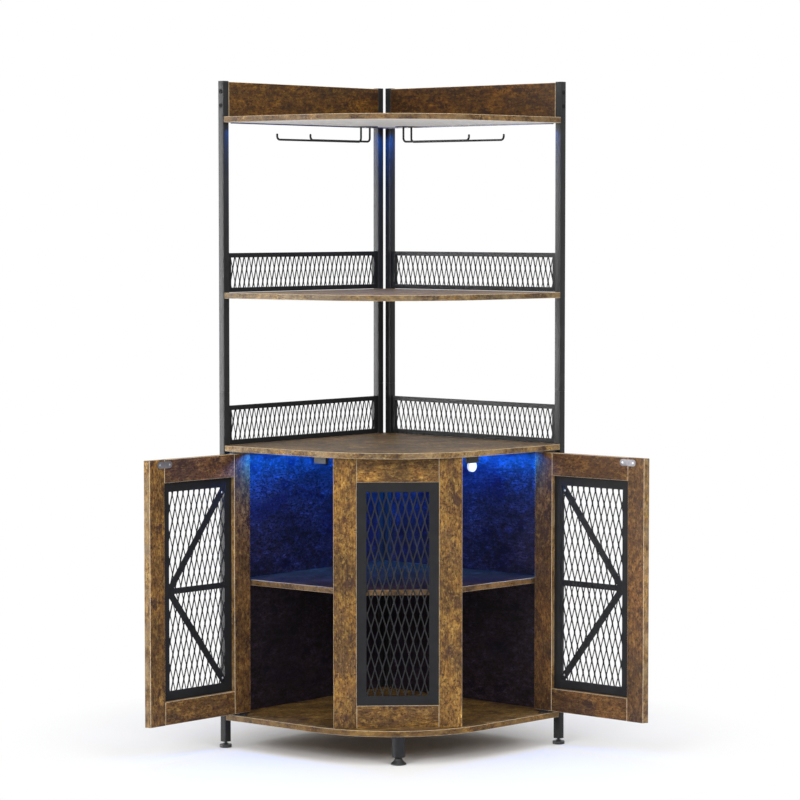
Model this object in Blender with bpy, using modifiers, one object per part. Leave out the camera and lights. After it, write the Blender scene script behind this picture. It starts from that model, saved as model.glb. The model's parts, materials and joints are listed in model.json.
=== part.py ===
"""Corner bar cabinet on four square posts, with two pivoting mesh doors that stand open.

Two walls meet at a right angle behind the cabinet. Each wall has its own frame: local X runs
along the wall from the corner to the front, local Y runs inward and Z runs up. The right
wall is the mirror image of the left one. A door's frame has its Z axis on the pivot, X along
the door to its free end and Y to its inner face. All lengths are in metres.
"""
import math

import bmesh
import bpy
from mathutils import Matrix

# Driving dimensions of the whole cabinet
TOTAL_HEIGHT = 1.757
WALL_LENGTH = 0.6467
CORNER_SETBACK = 0.0233
BOARD_THICKNESS = 0.015
FIT_GAP = 0.0003
EDGE_ROUNDING = 0.0008
CUT_OVERRUN = 0.004
WELD_DISTANCE = 0.00001

# Posts
POST_SIZE = 0.020
POST_WALL = 0.0012
POST_BOTTOM = 0.015
POST_JOINT_HEIGHT = 0.941
SPIGOT_LENGTH = 0.045
CAP_THICKNESS = 0.002

# Heights of the board tops, where the top shelf is measured down from the posts' tops
BASE_TOP = 0.089
WORKTOP_TOP = 0.802
SECOND_SHELF_TOP = 1.2038
TOP_SHELF_DROP = 0.093

# Plan of the boards: straight edges beside a rounded nose
EDGE_ANGLE = math.radians(41.5)
NOSE_HALF_WIDTH = 0.215
NOSE_SEGMENTS = 20
MIDDLE_SHELF_SETBACK = 0.056

# Boards, batten and mesh guards that stand between the posts
REAR_PANEL_THICKNESS = 0.012
CORNER_BATTEN_WIDTH = 0.012
BACKBOARD_DROP = 0.002
GUARD_HEIGHT = 0.103
GUARD_RISE = 0.0006
GUARD_BAR = 0.012
GUARD_THICKNESS = 0.010
GUARD_INSET = 0.005

# Fixed centre panel
PANEL_WIDTH = 0.332
PANEL_THICKNESS = 0.015
PANEL_STILE = 0.060
PANEL_TOP_RAIL = 0.063
PANEL_BOTTOM_RAIL = 0.058
PANEL_EDGE_SETBACK = 0.0025

# Doors, measured along the outer face, which each fill the edge from a front post to the panel
DOOR_THICKNESS = 0.016
DOOR_PANEL_GAP = 0.0012
DOOR_TOP_CLEARANCE = 0.005
DOOR_BOTTOM_CLEARANCE = 0.007
DOOR_SETBACK = 0.005
DOOR_STILE = 0.057
DOOR_RAIL = 0.060
DOOR_TAIL = 0.034
DOOR_POST_GAP = 0.003
DOOR_OPEN_ANGLE = math.radians(95)

# Steel frames that hold the mesh
FRAME_BAR = 0.025
FRAME_THICKNESS = 0.004
FRAME_RECESS = 0.0005
BRACE_WIDTH = 0.0125
BRACE_THICKNESS = 0.0025
BRACE_LAP = 0.001
MESH_THICKNESS = 0.002
MESH_DEPTH = 0.0015
MESH_WIRE = 0.003
MESH_LAP = 0.002
DOOR_MESH_CELLS = (3, 4)
GUARD_MESH_CELLS = (5, 1)

# Strike plates on the doors, catches under the worktop and the light's switch
STRIKE_LENGTH = 0.051
STRIKE_HEIGHT = 0.018
STRIKE_THICKNESS = 0.0015
STRIKE_END_DISTANCE = 0.057
STRIKE_TOP_DISTANCE = 0.013
STRIKE_END_SEGMENTS = 6
CATCH_LENGTH = 0.038
CATCH_DEPTH = 0.012
CATCH_HEIGHT = 0.018
SWITCH_WIDTH = 0.029
SWITCH_HEIGHT = 0.023
SWITCH_THICKNESS = 0.007
SWITCH_SEGMENTS = 12

# Pivot hinges
HINGE_PLATE_LENGTH = 0.056
HINGE_PLATE_WIDTH = 0.014
HINGE_PLATE_THICKNESS = 0.002
HINGE_PLATE_INSET = 0.004
HINGE_PIN_DIAMETER = 0.006
HINGE_COLLAR_DIAMETER = 0.010
RUNNING_CLEARANCE = 0.00008
SOCKET_LENGTH = 0.044
SOCKET_WIDTH = 0.016
SOCKET_THICKNESS = 0.002

# Feet, the threaded plugs that they screw into and the centre leg
FOOT_DIAMETER = 0.032
FOOT_DISC_HEIGHT = 0.008
FOOT_EDGE = 0.0015
FOOT_COLLAR_DIAMETER = 0.014
FOOT_COLLAR_HEIGHT = 0.003
CENTRE_FOOT_DIAMETER = 0.040
CENTRE_FOOT_HEIGHT = 0.0165
CENTRE_FOOT_RIM = 0.004
CENTRE_FOOT_NECK = 0.019
THREAD_DIAMETER = 0.008
STEM_LENGTH = 0.016
PLUG_DEPTH = 0.012
LEG_DIAMETER = 0.034
LEG_WALL = 0.0015
LEG_BOTTOM = 0.019
LEG_NOSE_GAP = 0.0035
LEG_TOP_PLATE = 0.003
ROUND_STEPS = 16

# Light strips, which stop short of the walls' front ends
STRIP_WIDTH = 0.010
STRIP_THICKNESS = 0.0025
STRIP_WALL_GAP = 0.001
TOP_STRIP_SETBACK = 0.0247
CABINET_STRIP_SETBACK = 0.0867

# Stemware racks under the top shelf
RACK_WIRE = 0.0055
RACK_DROP = 0.042
RACK_START = 0.141
RACK_WALL_INSET = 0.0435
RACK_SPACING = 0.0325
RACK_WALL_END = 0.470
RACK_INNER_END = 0.376
RACK_TIP = 0.015
RACK_BEND = 0.010
RACK_BEND_STEPS = 4
RACK_PLATE_WIDTH = 0.020
RACK_PLATE_OVERHANG = 0.010
RACK_PLATE_THICKNESS = 0.002

# Heights that follow from the sizes above
BASE_BOTTOM = BASE_TOP - BOARD_THICKNESS
WORKTOP_BOTTOM = WORKTOP_TOP - BOARD_THICKNESS
TOP_SHELF_TOP = TOTAL_HEIGHT - TOP_SHELF_DROP
TOP_SHELF_BOTTOM = TOP_SHELF_TOP - BOARD_THICKNESS
MIDDLE_SHELF_TOP = (BASE_TOP + WORKTOP_BOTTOM + BOARD_THICKNESS) / 2
DOOR_BOTTOM = BASE_TOP + DOOR_BOTTOM_CLEARANCE
DOOR_TOP = WORKTOP_BOTTOM - DOOR_TOP_CLEARANCE

# Plan places that follow from the sizes above, with the walls' corner at the plan's origin
ROOT_2 = math.sqrt(2)
POST_STARTS = {"rear": CORNER_SETBACK, "front": WALL_LENGTH - POST_SIZE}
BOARD_INSET = POST_SIZE + FIT_GAP
INFILL_START = CORNER_SETBACK + POST_SIZE + FIT_GAP
INFILL_END = WALL_LENGTH - POST_SIZE - FIT_GAP
FRONT_CORNER_X = (WALL_LENGTH - POST_SIZE) / ROOT_2
FRONT_CORNER_Y = -(WALL_LENGTH + POST_SIZE) / ROOT_2
EDGE_SLOPE = math.tan(EDGE_ANGLE)
NOSE_RADIUS = NOSE_HALF_WIDTH / math.sin(EDGE_ANGLE)
NOSE_EDGE_Y = FRONT_CORNER_Y - (FRONT_CORNER_X - NOSE_HALF_WIDTH) * EDGE_SLOPE
NOSE_CENTRE_Y = NOSE_EDGE_Y + NOSE_RADIUS * math.cos(EDGE_ANGLE)
NOSE_Y = NOSE_CENTRE_Y - NOSE_RADIUS
PANEL_FRONT_Y = (NOSE_CENTRE_Y + PANEL_EDGE_SETBACK
                 - math.sqrt(NOSE_RADIUS ** 2 - (PANEL_WIDTH / 2) ** 2))
PANEL_BACK_Y = PANEL_FRONT_Y + PANEL_THICKNESS
REAR_FOOT_Y = FOOT_DIAMETER / 2 - (CORNER_SETBACK + POST_SIZE) / ROOT_2
CORNER_Y = -(REAR_FOOT_Y + NOSE_Y) / 2
LEG_Y = CORNER_Y + NOSE_Y + LEG_NOSE_GAP + LEG_DIAMETER / 2

# The doors meet the panel in mitres with a gap, and each pivot lies inward of the edge and
# along it from the front corner
MITRE_ANGLE = EDGE_ANGLE / 2
DOOR_MITRE = DOOR_THICKNESS * math.tan(MITRE_ANGLE)
PANEL_MITRE = PANEL_THICKNESS * math.tan(MITRE_ANGLE)
DOOR_SPAN_X = FRONT_CORNER_X - DOOR_SETBACK * math.sin(EDGE_ANGLE) - PANEL_WIDTH / 2
DOOR_SPAN_Y = FRONT_CORNER_Y + DOOR_SETBACK * math.cos(EDGE_ANGLE) - PANEL_FRONT_Y
DOOR_LENGTH = (DOOR_SPAN_X + DOOR_SPAN_Y * math.tan(MITRE_ANGLE)
               - DOOR_PANEL_GAP / math.cos(MITRE_ANGLE) - DOOR_POST_GAP)
PIVOT_INWARD = DOOR_SETBACK + DOOR_THICKNESS / 2
PIVOT_ALONG = DOOR_POST_GAP + DOOR_TAIL
PIVOT_X = (FRONT_CORNER_X - PIVOT_ALONG * math.cos(EDGE_ANGLE)
           - PIVOT_INWARD * math.sin(EDGE_ANGLE))
PIVOT_Y = (CORNER_Y + FRONT_CORNER_Y - PIVOT_ALONG * math.sin(EDGE_ANGLE)
           + PIVOT_INWARD * math.cos(EDGE_ANGLE))
DOOR_FREE_END = DOOR_LENGTH - DOOR_TAIL
DOOR_INNER_FACE = DOOR_THICKNESS / 2
STRIKE_X = DOOR_FREE_END - STRIKE_END_DISTANCE

LEFT = 1
RIGHT = -1
SIDES = {LEFT: "left", RIGHT: "right"}

# Finishes: colour, roughness and metallic value
RUSTIC_BOARD = ((0.22, 0.125, 0.055, 1), 0.55, 0.0)
BLACK_STEEL = ((0.022, 0.022, 0.024, 1), 0.45, 0.7)
BRIGHT_STEEL = ((0.55, 0.55, 0.56, 1), 0.3, 1.0)
BLACK_PLASTIC = ((0.02, 0.02, 0.02, 1), 0.5, 0.0)
WHITE_PLASTIC = ((0.8, 0.82, 0.85, 1), 0.35, 0.0)


def new_collection(name):
    collection = bpy.data.collections.new(name)
    bpy.context.scene.collection.children.link(collection)
    return collection


for old in list(bpy.data.objects):
    bpy.data.objects.remove(old, do_unlink=True)
PARTS = new_collection("corner_bar_cabinet")
CUTTERS = new_collection("cutters")


def frame_at(x, y, angle):
    return Matrix.Translation((x, y, 0)) @ Matrix.Rotation(angle, 4, "Z")


WALL_FRAMES = {LEFT: frame_at(0, CORNER_Y, math.radians(225)),
               RIGHT: frame_at(0, CORNER_Y, math.radians(-45))}
CLOSED_FRAMES = {LEFT: frame_at(-PIVOT_X, PIVOT_Y, -EDGE_ANGLE),
                 RIGHT: frame_at(PIVOT_X, PIVOT_Y, math.pi + EDGE_ANGLE)}
OPEN_FRAMES = {side: CLOSED_FRAMES[side] @ Matrix.Rotation(-side * DOOR_OPEN_ANGLE, 4, "Z")
               for side in SIDES}


def new_empty(name, frame):
    """An empty that carries pieces: a wall's frame, or a door on its pivot."""
    empty = bpy.data.objects.new(name, None)
    empty.location = frame.translation
    empty.rotation_euler = frame.to_euler()
    PARTS.objects.link(empty)
    return empty


WALLS = {side: new_empty("wall_" + word, WALL_FRAMES[side]) for side, word in SIDES.items()}
DOORS = {side: new_empty("door_pivot_" + word, OPEN_FRAMES[side])
         for side, word in SIDES.items()}
CLOSED = {side: new_empty("closed_door_" + word, CLOSED_FRAMES[side])
          for side, word in SIDES.items()}


def new_material(name, finish):
    colour, roughness, metallic = finish
    material = bpy.data.materials.new(name + "_finish")
    material.use_nodes = True
    shader = material.node_tree.nodes["Principled BSDF"]
    shader.inputs["Base Color"].default_value = colour
    shader.inputs["Roughness"].default_value = roughness
    shader.inputs["Metallic"].default_value = metallic
    return material


def mesh_from(shape, name):
    mesh = bpy.data.meshes.new(name)
    shape.to_mesh(mesh)
    shape.free()
    return mesh


def mirror_shape(shape, side):
    """Shapes are drawn for the left side, and the right side flips their local Y."""
    if side == RIGHT:
        bmesh.ops.scale(shape, vec=(1, -1, 1), verts=shape.verts)
        bmesh.ops.reverse_faces(shape, faces=shape.faces)


def new_piece(name, shape, finish, parent=None, side=LEFT, origin=(0, 0, 0), smooth=False):
    """Turn a shape into a named object, in its parent's frame."""
    mirror_shape(shape, side)
    mesh = mesh_from(shape, name)
    mesh.materials.append(new_material(name, finish))
    if smooth:
        mesh.shade_smooth()
        mesh.set_sharp_from_angle(angle=math.radians(35))
    piece = bpy.data.objects.new(name, mesh)
    piece.parent = parent
    piece.location = (origin[0], side * origin[1], origin[2])
    PARTS.objects.link(piece)
    return piece


def new_cutter(name, shape, parent=None, side=LEFT):
    """A shape that only cuts or joins other pieces."""
    mirror_shape(shape, side)
    cutter = bpy.data.objects.new(name, mesh_from(shape, name))
    cutter.parent = parent
    cutter.display_type = "WIRE"
    cutter.hide_render = True
    CUTTERS.objects.link(cutter)
    return cutter


def add_boolean(piece, other, operation="DIFFERENCE"):
    boolean = piece.modifiers.new(other.name, "BOOLEAN")
    boolean.operation = operation
    boolean.object = other


def add_bevel(piece):
    bevel = piece.modifiers.new("rounded_edges", "BEVEL")
    bevel.width = EDGE_ROUNDING
    bevel.segments = 1
    bevel.limit_method = "ANGLE"
    bevel.angle_limit = math.radians(40)


def move_shape(shape, x, y, z):
    bmesh.ops.translate(shape, vec=(x, y, z), verts=shape.verts)


def add_shape(group, shape):
    """Add a shape to a group of separate solids."""
    mesh = mesh_from(shape, "solid")
    group.from_mesh(mesh)
    bpy.data.meshes.remove(mesh)


def add_placed_shape(group, shape, side, frame):
    """Add a shape, drawn in a left frame, to a group that is kept in the world's frame."""
    mirror_shape(shape, side)
    bmesh.ops.transform(shape, matrix=frame, verts=shape.verts)
    add_shape(group, shape)


def box_shape(low, high):
    """A box between two opposite corners."""
    shape = bmesh.new()
    sizes = [b - a for a, b in zip(low, high)]
    middle = [(a + b) / 2 for a, b in zip(low, high)]
    matrix = Matrix.Translation(middle) @ Matrix.Diagonal((*sizes, 1))
    bmesh.ops.create_cube(shape, size=1, matrix=matrix)
    return shape


def evaluated_shape(holder):
    """The welded shape that a helper object's curve or modifiers make. It removes the helper."""
    PARTS.objects.link(holder)
    bpy.context.view_layer.update()
    mesh = bpy.data.meshes.new_from_object(
        holder.evaluated_get(bpy.context.evaluated_depsgraph_get()))
    shape = bmesh.new()
    shape.from_mesh(mesh)
    bmesh.ops.remove_doubles(shape, verts=shape.verts, dist=WELD_DISTANCE)
    bpy.data.objects.remove(holder, do_unlink=True)
    bpy.data.meshes.remove(mesh)
    return shape


def turned_shape(profile, steps, ring=False):
    """Turn (radius, height) points, which run down the outer side, about Z."""
    outline = bmesh.new()
    corners = [outline.verts.new((radius, 0, height)) for radius, height in profile]
    for upper, lower in zip(corners, corners[1:]):
        outline.edges.new((upper, lower))
    if ring:
        outline.edges.new((corners[-1], corners[0]))
    holder = bpy.data.objects.new("profile", mesh_from(outline, "profile"))
    screw = holder.modifiers.new("turned", "SCREW")
    screw.steps = steps
    screw.render_steps = steps
    screw.use_merge_vertices = True
    screw.merge_threshold = WELD_DISTANCE
    return evaluated_shape(holder)


def square_shape(profile, ring=False):
    """As a turned shape, but square: each radius is half the width across the flats."""
    shape = turned_shape([(half * ROOT_2, height) for half, height in profile], 4, ring)
    bmesh.ops.rotate(shape, matrix=Matrix.Rotation(math.radians(45), 3, "Z"), verts=shape.verts)
    return shape


def flat_shape(outlines, thickness):
    """A plate in XY, centred on Z: the first outline is its rim, and the others are holes."""
    curve = bpy.data.curves.new("outline", "CURVE")
    curve.dimensions = "2D"
    curve.fill_mode = "BOTH"
    curve.extrude = thickness / 2
    for outline in outlines:
        spline = curve.splines.new("POLY")
        spline.points.add(len(outline) - 1)
        for point, (x, y) in zip(spline.points, outline):
            point.co = (x, y, 0, 1)
        spline.use_cyclic_u = True
    shape = evaluated_shape(bpy.data.objects.new("outline", curve))
    bmesh.ops.recalc_face_normals(shape, faces=shape.faces)
    return shape


def upright_shape(outlines, thickness, y):
    """A plate drawn in XZ, with its middle plane at y."""
    shape = flat_shape(outlines, thickness)
    bmesh.ops.rotate(shape, matrix=Matrix.Rotation(math.pi / 2, 3, "X"), verts=shape.verts)
    move_shape(shape, 0, y, 0)
    return shape


def wire_shape(points):
    curve = bpy.data.curves.new("wire", "CURVE")
    curve.dimensions = "3D"
    curve.bevel_depth = RACK_WIRE / 2
    curve.bevel_resolution = 2
    curve.use_fill_caps = True
    spline = curve.splines.new("POLY")
    spline.points.add(len(points) - 1)
    for point, place in zip(spline.points, points):
        point.co = (*place, 1)
    return evaluated_shape(bpy.data.objects.new("wire", curve))


def rectangle(x_low, y_low, x_high, y_high):
    return [(x_low, y_low), (x_high, y_low), (x_high, y_high), (x_low, y_high)]


def arc(x, y, radius, start, end, segments):
    """Points from one angle to another round a centre, both ends included."""
    angles = [start + (end - start) * i / segments for i in range(segments + 1)]
    return [(x + radius * math.cos(a), y + radius * math.sin(a)) for a in angles]


def plan_point(along, inward, side):
    """A place in a wall's frame as a place in the world's plan."""
    return (side * (inward - along) / ROOT_2, CORNER_Y - (along + inward) / ROOT_2)


def thread_cutter():
    """Holes for the feet's stems in the four posts' lower ends."""
    holes = bmesh.new()
    radius = THREAD_DIAMETER / 2 + RUNNING_CLEARANCE
    middle = POST_SIZE / 2
    high = POST_BOTTOM + PLUG_DEPTH + CUT_OVERRUN
    low = POST_BOTTOM - CUT_OVERRUN
    for side in SIDES:
        for start in POST_STARTS.values():
            hole = turned_shape([(0, high), (radius, high), (radius, low), (0, low)], ROUND_STEPS)
            move_shape(hole, start + middle, middle, 0)
            add_placed_shape(holes, hole, side, WALL_FRAMES[side])
    return new_cutter("post_threads", holes)


THREADS = thread_cutter()


def make_posts(side):
    """Each post has a lower and an upper tube, and the lower one's spigot enters the upper.

    The upper tube's top is closed, and a threaded plug is welded into the lower tube's foot.
    """
    outer = POST_SIZE / 2
    inner = outer - POST_WALL
    spigot = inner - FIT_GAP
    spigot_inner = spigot - POST_WALL
    spigot_low = POST_JOINT_HEIGHT - SPIGOT_LENGTH
    spigot_high = POST_JOINT_HEIGHT + SPIGOT_LENGTH
    plug_top = POST_BOTTOM + PLUG_DEPTH
    cavity_top = TOTAL_HEIGHT - CAP_THICKNESS
    lower = [(0, plug_top), (inner, plug_top), (inner, spigot_low), (spigot_inner, spigot_low),
             (spigot_inner, spigot_high), (spigot, spigot_high), (spigot, POST_JOINT_HEIGHT),
             (outer, POST_JOINT_HEIGHT), (outer, POST_BOTTOM), (0, POST_BOTTOM)]
    upper_low = POST_JOINT_HEIGHT + FIT_GAP
    upper = [(0, TOTAL_HEIGHT), (outer, TOTAL_HEIGHT), (outer, upper_low), (inner, upper_low),
             (inner, cavity_top), (0, cavity_top)]
    for place, start in POST_STARTS.items():
        stem = "_".join(("post", place, SIDES[side]))
        seat = (start + outer, outer, 0)
        new_piece(stem + "_upper", square_shape(upper), BLACK_STEEL, WALLS[side], side, seat)
        lower_post = new_piece(stem + "_lower", square_shape(lower), BLACK_STEEL, WALLS[side],
                               side, seat)
        add_boolean(lower_post, THREADS)


def make_centre_leg():
    """A round tube under the nose, closed on top, with a threaded plug in its foot."""
    outer = LEG_DIAMETER / 2
    inner = outer - LEG_WALL
    thread = THREAD_DIAMETER / 2 + RUNNING_CLEARANCE
    top = BASE_BOTTOM - FIT_GAP
    plug_top = LEG_BOTTOM + PLUG_DEPTH
    cavity_top = top - LEG_TOP_PLATE
    profile = [(0, top), (outer, top), (outer, LEG_BOTTOM), (thread, LEG_BOTTOM),
               (thread, plug_top), (inner, plug_top), (inner, cavity_top), (0, cavity_top)]
    new_piece("centre_leg", turned_shape(profile, ROUND_STEPS), BLACK_STEEL,
              origin=(0, LEG_Y, 0), smooth=True)


def foot_shape():
    """A round pad with a collar and a threaded stem."""
    pad = FOOT_DIAMETER / 2
    collar = FOOT_COLLAR_DIAMETER / 2
    collar_top = FOOT_DISC_HEIGHT + FOOT_COLLAR_HEIGHT
    thread = THREAD_DIAMETER / 2
    profile = [(0, collar_top + STEM_LENGTH), (thread, collar_top + STEM_LENGTH),
               (thread, collar_top), (collar, collar_top), (collar, FOOT_DISC_HEIGHT),
               (pad - FOOT_EDGE, FOOT_DISC_HEIGHT), (pad, FOOT_DISC_HEIGHT - FOOT_EDGE),
               (pad, 0), (0, 0)]
    return turned_shape(profile, ROUND_STEPS)


def centre_foot_shape():
    """A bell-shaped foot with a threaded stem."""
    pad = CENTRE_FOOT_DIAMETER / 2
    neck = CENTRE_FOOT_NECK / 2
    thread = THREAD_DIAMETER / 2
    top = CENTRE_FOOT_HEIGHT
    waist = (top + CENTRE_FOOT_RIM) / 2
    profile = [(0, top + STEM_LENGTH), (thread, top + STEM_LENGTH), (thread, top),
               (neck, top), ((neck * 2 + pad) / 3, waist), (pad - FOOT_EDGE, CENTRE_FOOT_RIM),
               (pad, CENTRE_FOOT_RIM - FOOT_EDGE), (pad, 0), (0, 0)]
    return turned_shape(profile, ROUND_STEPS)


def make_feet():
    middle = POST_SIZE / 2
    for side, word in SIDES.items():
        for place, start in POST_STARTS.items():
            new_piece("levelling_foot_" + place + "_" + word, foot_shape(), BLACK_PLASTIC,
                      WALLS[side], side, (start + middle, middle, 0), smooth=True)
    new_piece("levelling_foot_centre", centre_foot_shape(), BLACK_PLASTIC,
              origin=(0, LEG_Y, 0), smooth=True)


def board_outline():
    """Right angle at the rear, a straight edge beside each front post and a round nose."""
    nose = arc(0, CORNER_Y + NOSE_CENTRE_Y, NOSE_RADIUS, -math.pi / 2 - EDGE_ANGLE,
               -math.pi / 2 + EDGE_ANGLE, NOSE_SEGMENTS)
    return [plan_point(BOARD_INSET, BOARD_INSET, LEFT),
            plan_point(WALL_LENGTH, BOARD_INSET, LEFT), *nose,
            plan_point(WALL_LENGTH, BOARD_INSET, RIGHT)]


def middle_shelf_outline():
    """Set back behind the closed doors, and flat where it meets the centre panel."""
    front_y = PANEL_BACK_Y + FIT_GAP
    # Each set back edge is the line y = slope * x - edge_depth in the plan
    edge_depth = (FRONT_CORNER_X * EDGE_SLOPE - FRONT_CORNER_Y
                  - MIDDLE_SHELF_SETBACK / math.cos(EDGE_ANGLE))
    front_half = (front_y + edge_depth) / EDGE_SLOPE
    end_x = (edge_depth - BOARD_INSET * ROOT_2) / (1 + EDGE_SLOPE)
    end_y = CORNER_Y - edge_depth + end_x * EDGE_SLOPE
    return [plan_point(BOARD_INSET, BOARD_INSET, LEFT), (-end_x, end_y),
            (-front_half, CORNER_Y + front_y), (front_half, CORNER_Y + front_y), (end_x, end_y)]


def make_boards():
    tops = {"base_board": BASE_TOP, "middle_shelf": MIDDLE_SHELF_TOP, "worktop": WORKTOP_TOP,
            "second_shelf": SECOND_SHELF_TOP, "top_shelf": TOP_SHELF_TOP}
    for name, top in tops.items():
        outline = middle_shelf_outline() if name == "middle_shelf" else board_outline()
        board = new_piece(name, flat_shape([outline], BOARD_THICKNESS), RUSTIC_BOARD,
                          origin=(0, 0, top - BOARD_THICKNESS / 2))
        add_bevel(board)


def make_wall_boards(side):
    """The backboard above the top shelf and the rear panel of the cabinet."""
    boards = {"backboard": (POST_SIZE - BOARD_THICKNESS, TOP_SHELF_BOTTOM,
                            TOTAL_HEIGHT - BACKBOARD_DROP),
              "rear_panel": (POST_SIZE - REAR_PANEL_THICKNESS, BASE_BOTTOM, WORKTOP_TOP)}
    for name, (rear, low, high) in boards.items():
        shape = box_shape((INFILL_START, rear, low), (INFILL_END, POST_SIZE, high))
        add_bevel(new_piece(name + "_" + SIDES[side], shape, RUSTIC_BOARD, WALLS[side], side))


def make_corner_batten():
    """A batten behind the gap between the rear posts, notched round the boards' corners."""
    far = CORNER_SETBACK - FIT_GAP
    near = far - CORNER_BATTEN_WIDTH
    notch = min(POST_SIZE, far) - FIT_GAP
    corners = ((near, near), (far, near), (far, notch), (notch, notch), (notch, far), (near, far))
    outline = [plan_point(along, inward, LEFT) for along, inward in corners]
    new_piece("corner_batten", flat_shape([outline], WORKTOP_TOP - BASE_BOTTOM), RUSTIC_BOARD,
              origin=(0, 0, (WORKTOP_TOP + BASE_BOTTOM) / 2))


def add_diamond(group, x, y, z, half_width, half_height):
    """A four-sided prism through the mesh, with its corners on the X and Z directions."""
    matrix = (Matrix.Translation((x, y, z)) @ Matrix.Diagonal((1, 1, half_height / half_width, 1))
              @ Matrix.Rotation(math.pi / 2, 4, "X"))
    bmesh.ops.create_cone(group, cap_ends=True, segments=4, radius1=half_width,
                          radius2=half_width, depth=2 * MESH_THICKNESS, matrix=matrix)


def mesh_cutter(name, opening, y, cells, parent, side):
    """Expanded mesh that reaches a little way into the frame round an opening."""
    x_low, z_low, x_high, z_high = opening
    columns, rows = cells
    half_x = (x_high - x_low) / columns / 2
    half_z = (z_high - z_low) / rows / 2
    hole_share = 1 - MESH_WIRE / 2 * math.hypot(1 / half_x, 1 / half_z)
    plate = new_cutter(name, box_shape((x_low - MESH_LAP, y - MESH_THICKNESS / 2, z_low - MESH_LAP),
                                       (x_high + MESH_LAP, y + MESH_THICKNESS / 2,
                                        z_high + MESH_LAP)), parent, side)
    diamonds = bmesh.new()
    for i in range(2 * columns + 1):
        for j in range(2 * rows + 1):
            if (i + j) % 2 == 0:
                add_diamond(diamonds, x_low + i * half_x, y, z_low + j * half_z,
                            half_x * hole_share, half_z * hole_share)
    add_boolean(plate, new_cutter(name + "_gaps", diamonds, parent, side))
    return plate


def framed_mesh(name, rim, bar, thickness, y, mesh_y, cells, parent=None, side=LEFT):
    """A steel frame with its near face at y, and expanded mesh welded into its opening."""
    x_low, z_low, x_high, z_high = rim
    opening = (x_low + bar, z_low + bar, x_high - bar, z_high - bar)
    frame = upright_shape([rectangle(*rim), rectangle(*opening)], thickness, y + thickness / 2)
    piece = new_piece(name, frame, BLACK_STEEL, parent, side)
    mesh = mesh_cutter(name + "_mesh", opening, mesh_y, cells, parent, side)
    add_boolean(piece, mesh, "UNION")
    return piece, opening


def make_guards(side):
    """Low mesh guards in steel frames above the worktop and the second shelf."""
    for word, top in (("lower", WORKTOP_TOP), ("upper", SECOND_SHELF_TOP)):
        low = top + GUARD_RISE
        rim = (INFILL_START, low, INFILL_END, low + GUARD_HEIGHT)
        framed_mesh("_".join(("guard", word, SIDES[side])), rim, GUARD_BAR, GUARD_THICKNESS,
                    GUARD_INSET, GUARD_INSET + GUARD_THICKNESS / 2, GUARD_MESH_CELLS,
                    WALLS[side], side)


def make_panel():
    """The fixed centre panel: two stiles, two rails, a steel frame and its mesh."""
    half = PANEL_WIDTH / 2
    inner = half - PANEL_STILE
    front = CORNER_Y + PANEL_FRONT_Y
    back = CORNER_Y + PANEL_BACK_Y
    low = BASE_TOP + FIT_GAP
    high = WORKTOP_BOTTOM - FIT_GAP
    rail_top = low + PANEL_BOTTOM_RAIL
    rail_bottom = high - PANEL_TOP_RAIL
    rails = {"bottom": ((FIT_GAP - inner, front, low), (inner - FIT_GAP, back, rail_top)),
             "top": ((FIT_GAP - inner, front, rail_bottom), (inner - FIT_GAP, back, high))}
    for word, (near, far) in rails.items():
        add_bevel(new_piece("panel_" + word + "_rail", box_shape(near, far), RUSTIC_BOARD))
    narrow = half - PANEL_MITRE
    stiles = {"left": [(-half, front), (-inner, front), (-inner, back), (-narrow, back)],
              "right": [(inner, front), (half, front), (narrow, back), (inner, back)]}
    for word, outline in stiles.items():
        stile = flat_shape([outline], high - low)
        move_shape(stile, 0, 0, (high + low) / 2)
        add_bevel(new_piece("panel_stile_" + word, stile, RUSTIC_BOARD))
    rim_half = inner - FIT_GAP
    rim = (-rim_half, rail_top + FIT_GAP, rim_half, rail_bottom - FIT_GAP)
    face = front + FRAME_RECESS
    framed_mesh("panel_frame", rim, FRAME_BAR, FRAME_THICKNESS, face,
                face + MESH_DEPTH + MESH_THICKNESS / 2, DOOR_MESH_CELLS)


def inset_triangle(corners, inset):
    """Move a triangle's three sides inward by the same distance."""
    sides = [math.dist(corners[(i + 1) % 3], corners[(i + 2) % 3]) for i in range(3)]
    total = sum(sides)
    centre = [sum(side * corner[k] for side, corner in zip(sides, corners)) / total
              for k in range(2)]
    (ax, ay), (bx, by), (cx, cy) = corners
    area = abs((bx - ax) * (cy - ay) - (cx - ax) * (by - ay)) / 2
    inset_share = 1 - inset * total / (2 * area)
    return [(centre[0] + (x - centre[0]) * inset_share, centre[1] + (y - centre[1]) * inset_share)
            for x, y in corners]


def brace_shape(opening, y):
    """A middle bar and two diagonals that run from the hinge side's corners to its free end."""
    inset = BRACE_WIDTH / 2
    reach = inset + BRACE_LAP
    hinge_x, low = opening[0] - reach, opening[1] - reach
    free_x, high = opening[2] + reach, opening[3] + reach
    middle = (low + high) / 2
    triangles = [[(hinge_x, high), (free_x, high), (free_x, middle)],
                 [(hinge_x, high), (hinge_x, middle), (free_x, middle)],
                 [(hinge_x, low), (hinge_x, middle), (free_x, middle)],
                 [(hinge_x, low), (free_x, low), (free_x, middle)]]
    rim = rectangle(hinge_x, low, free_x, high)
    gaps = [inset_triangle(corners, inset) for corners in triangles]
    return upright_shape([rim, *gaps], BRACE_THICKNESS, y)


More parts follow.
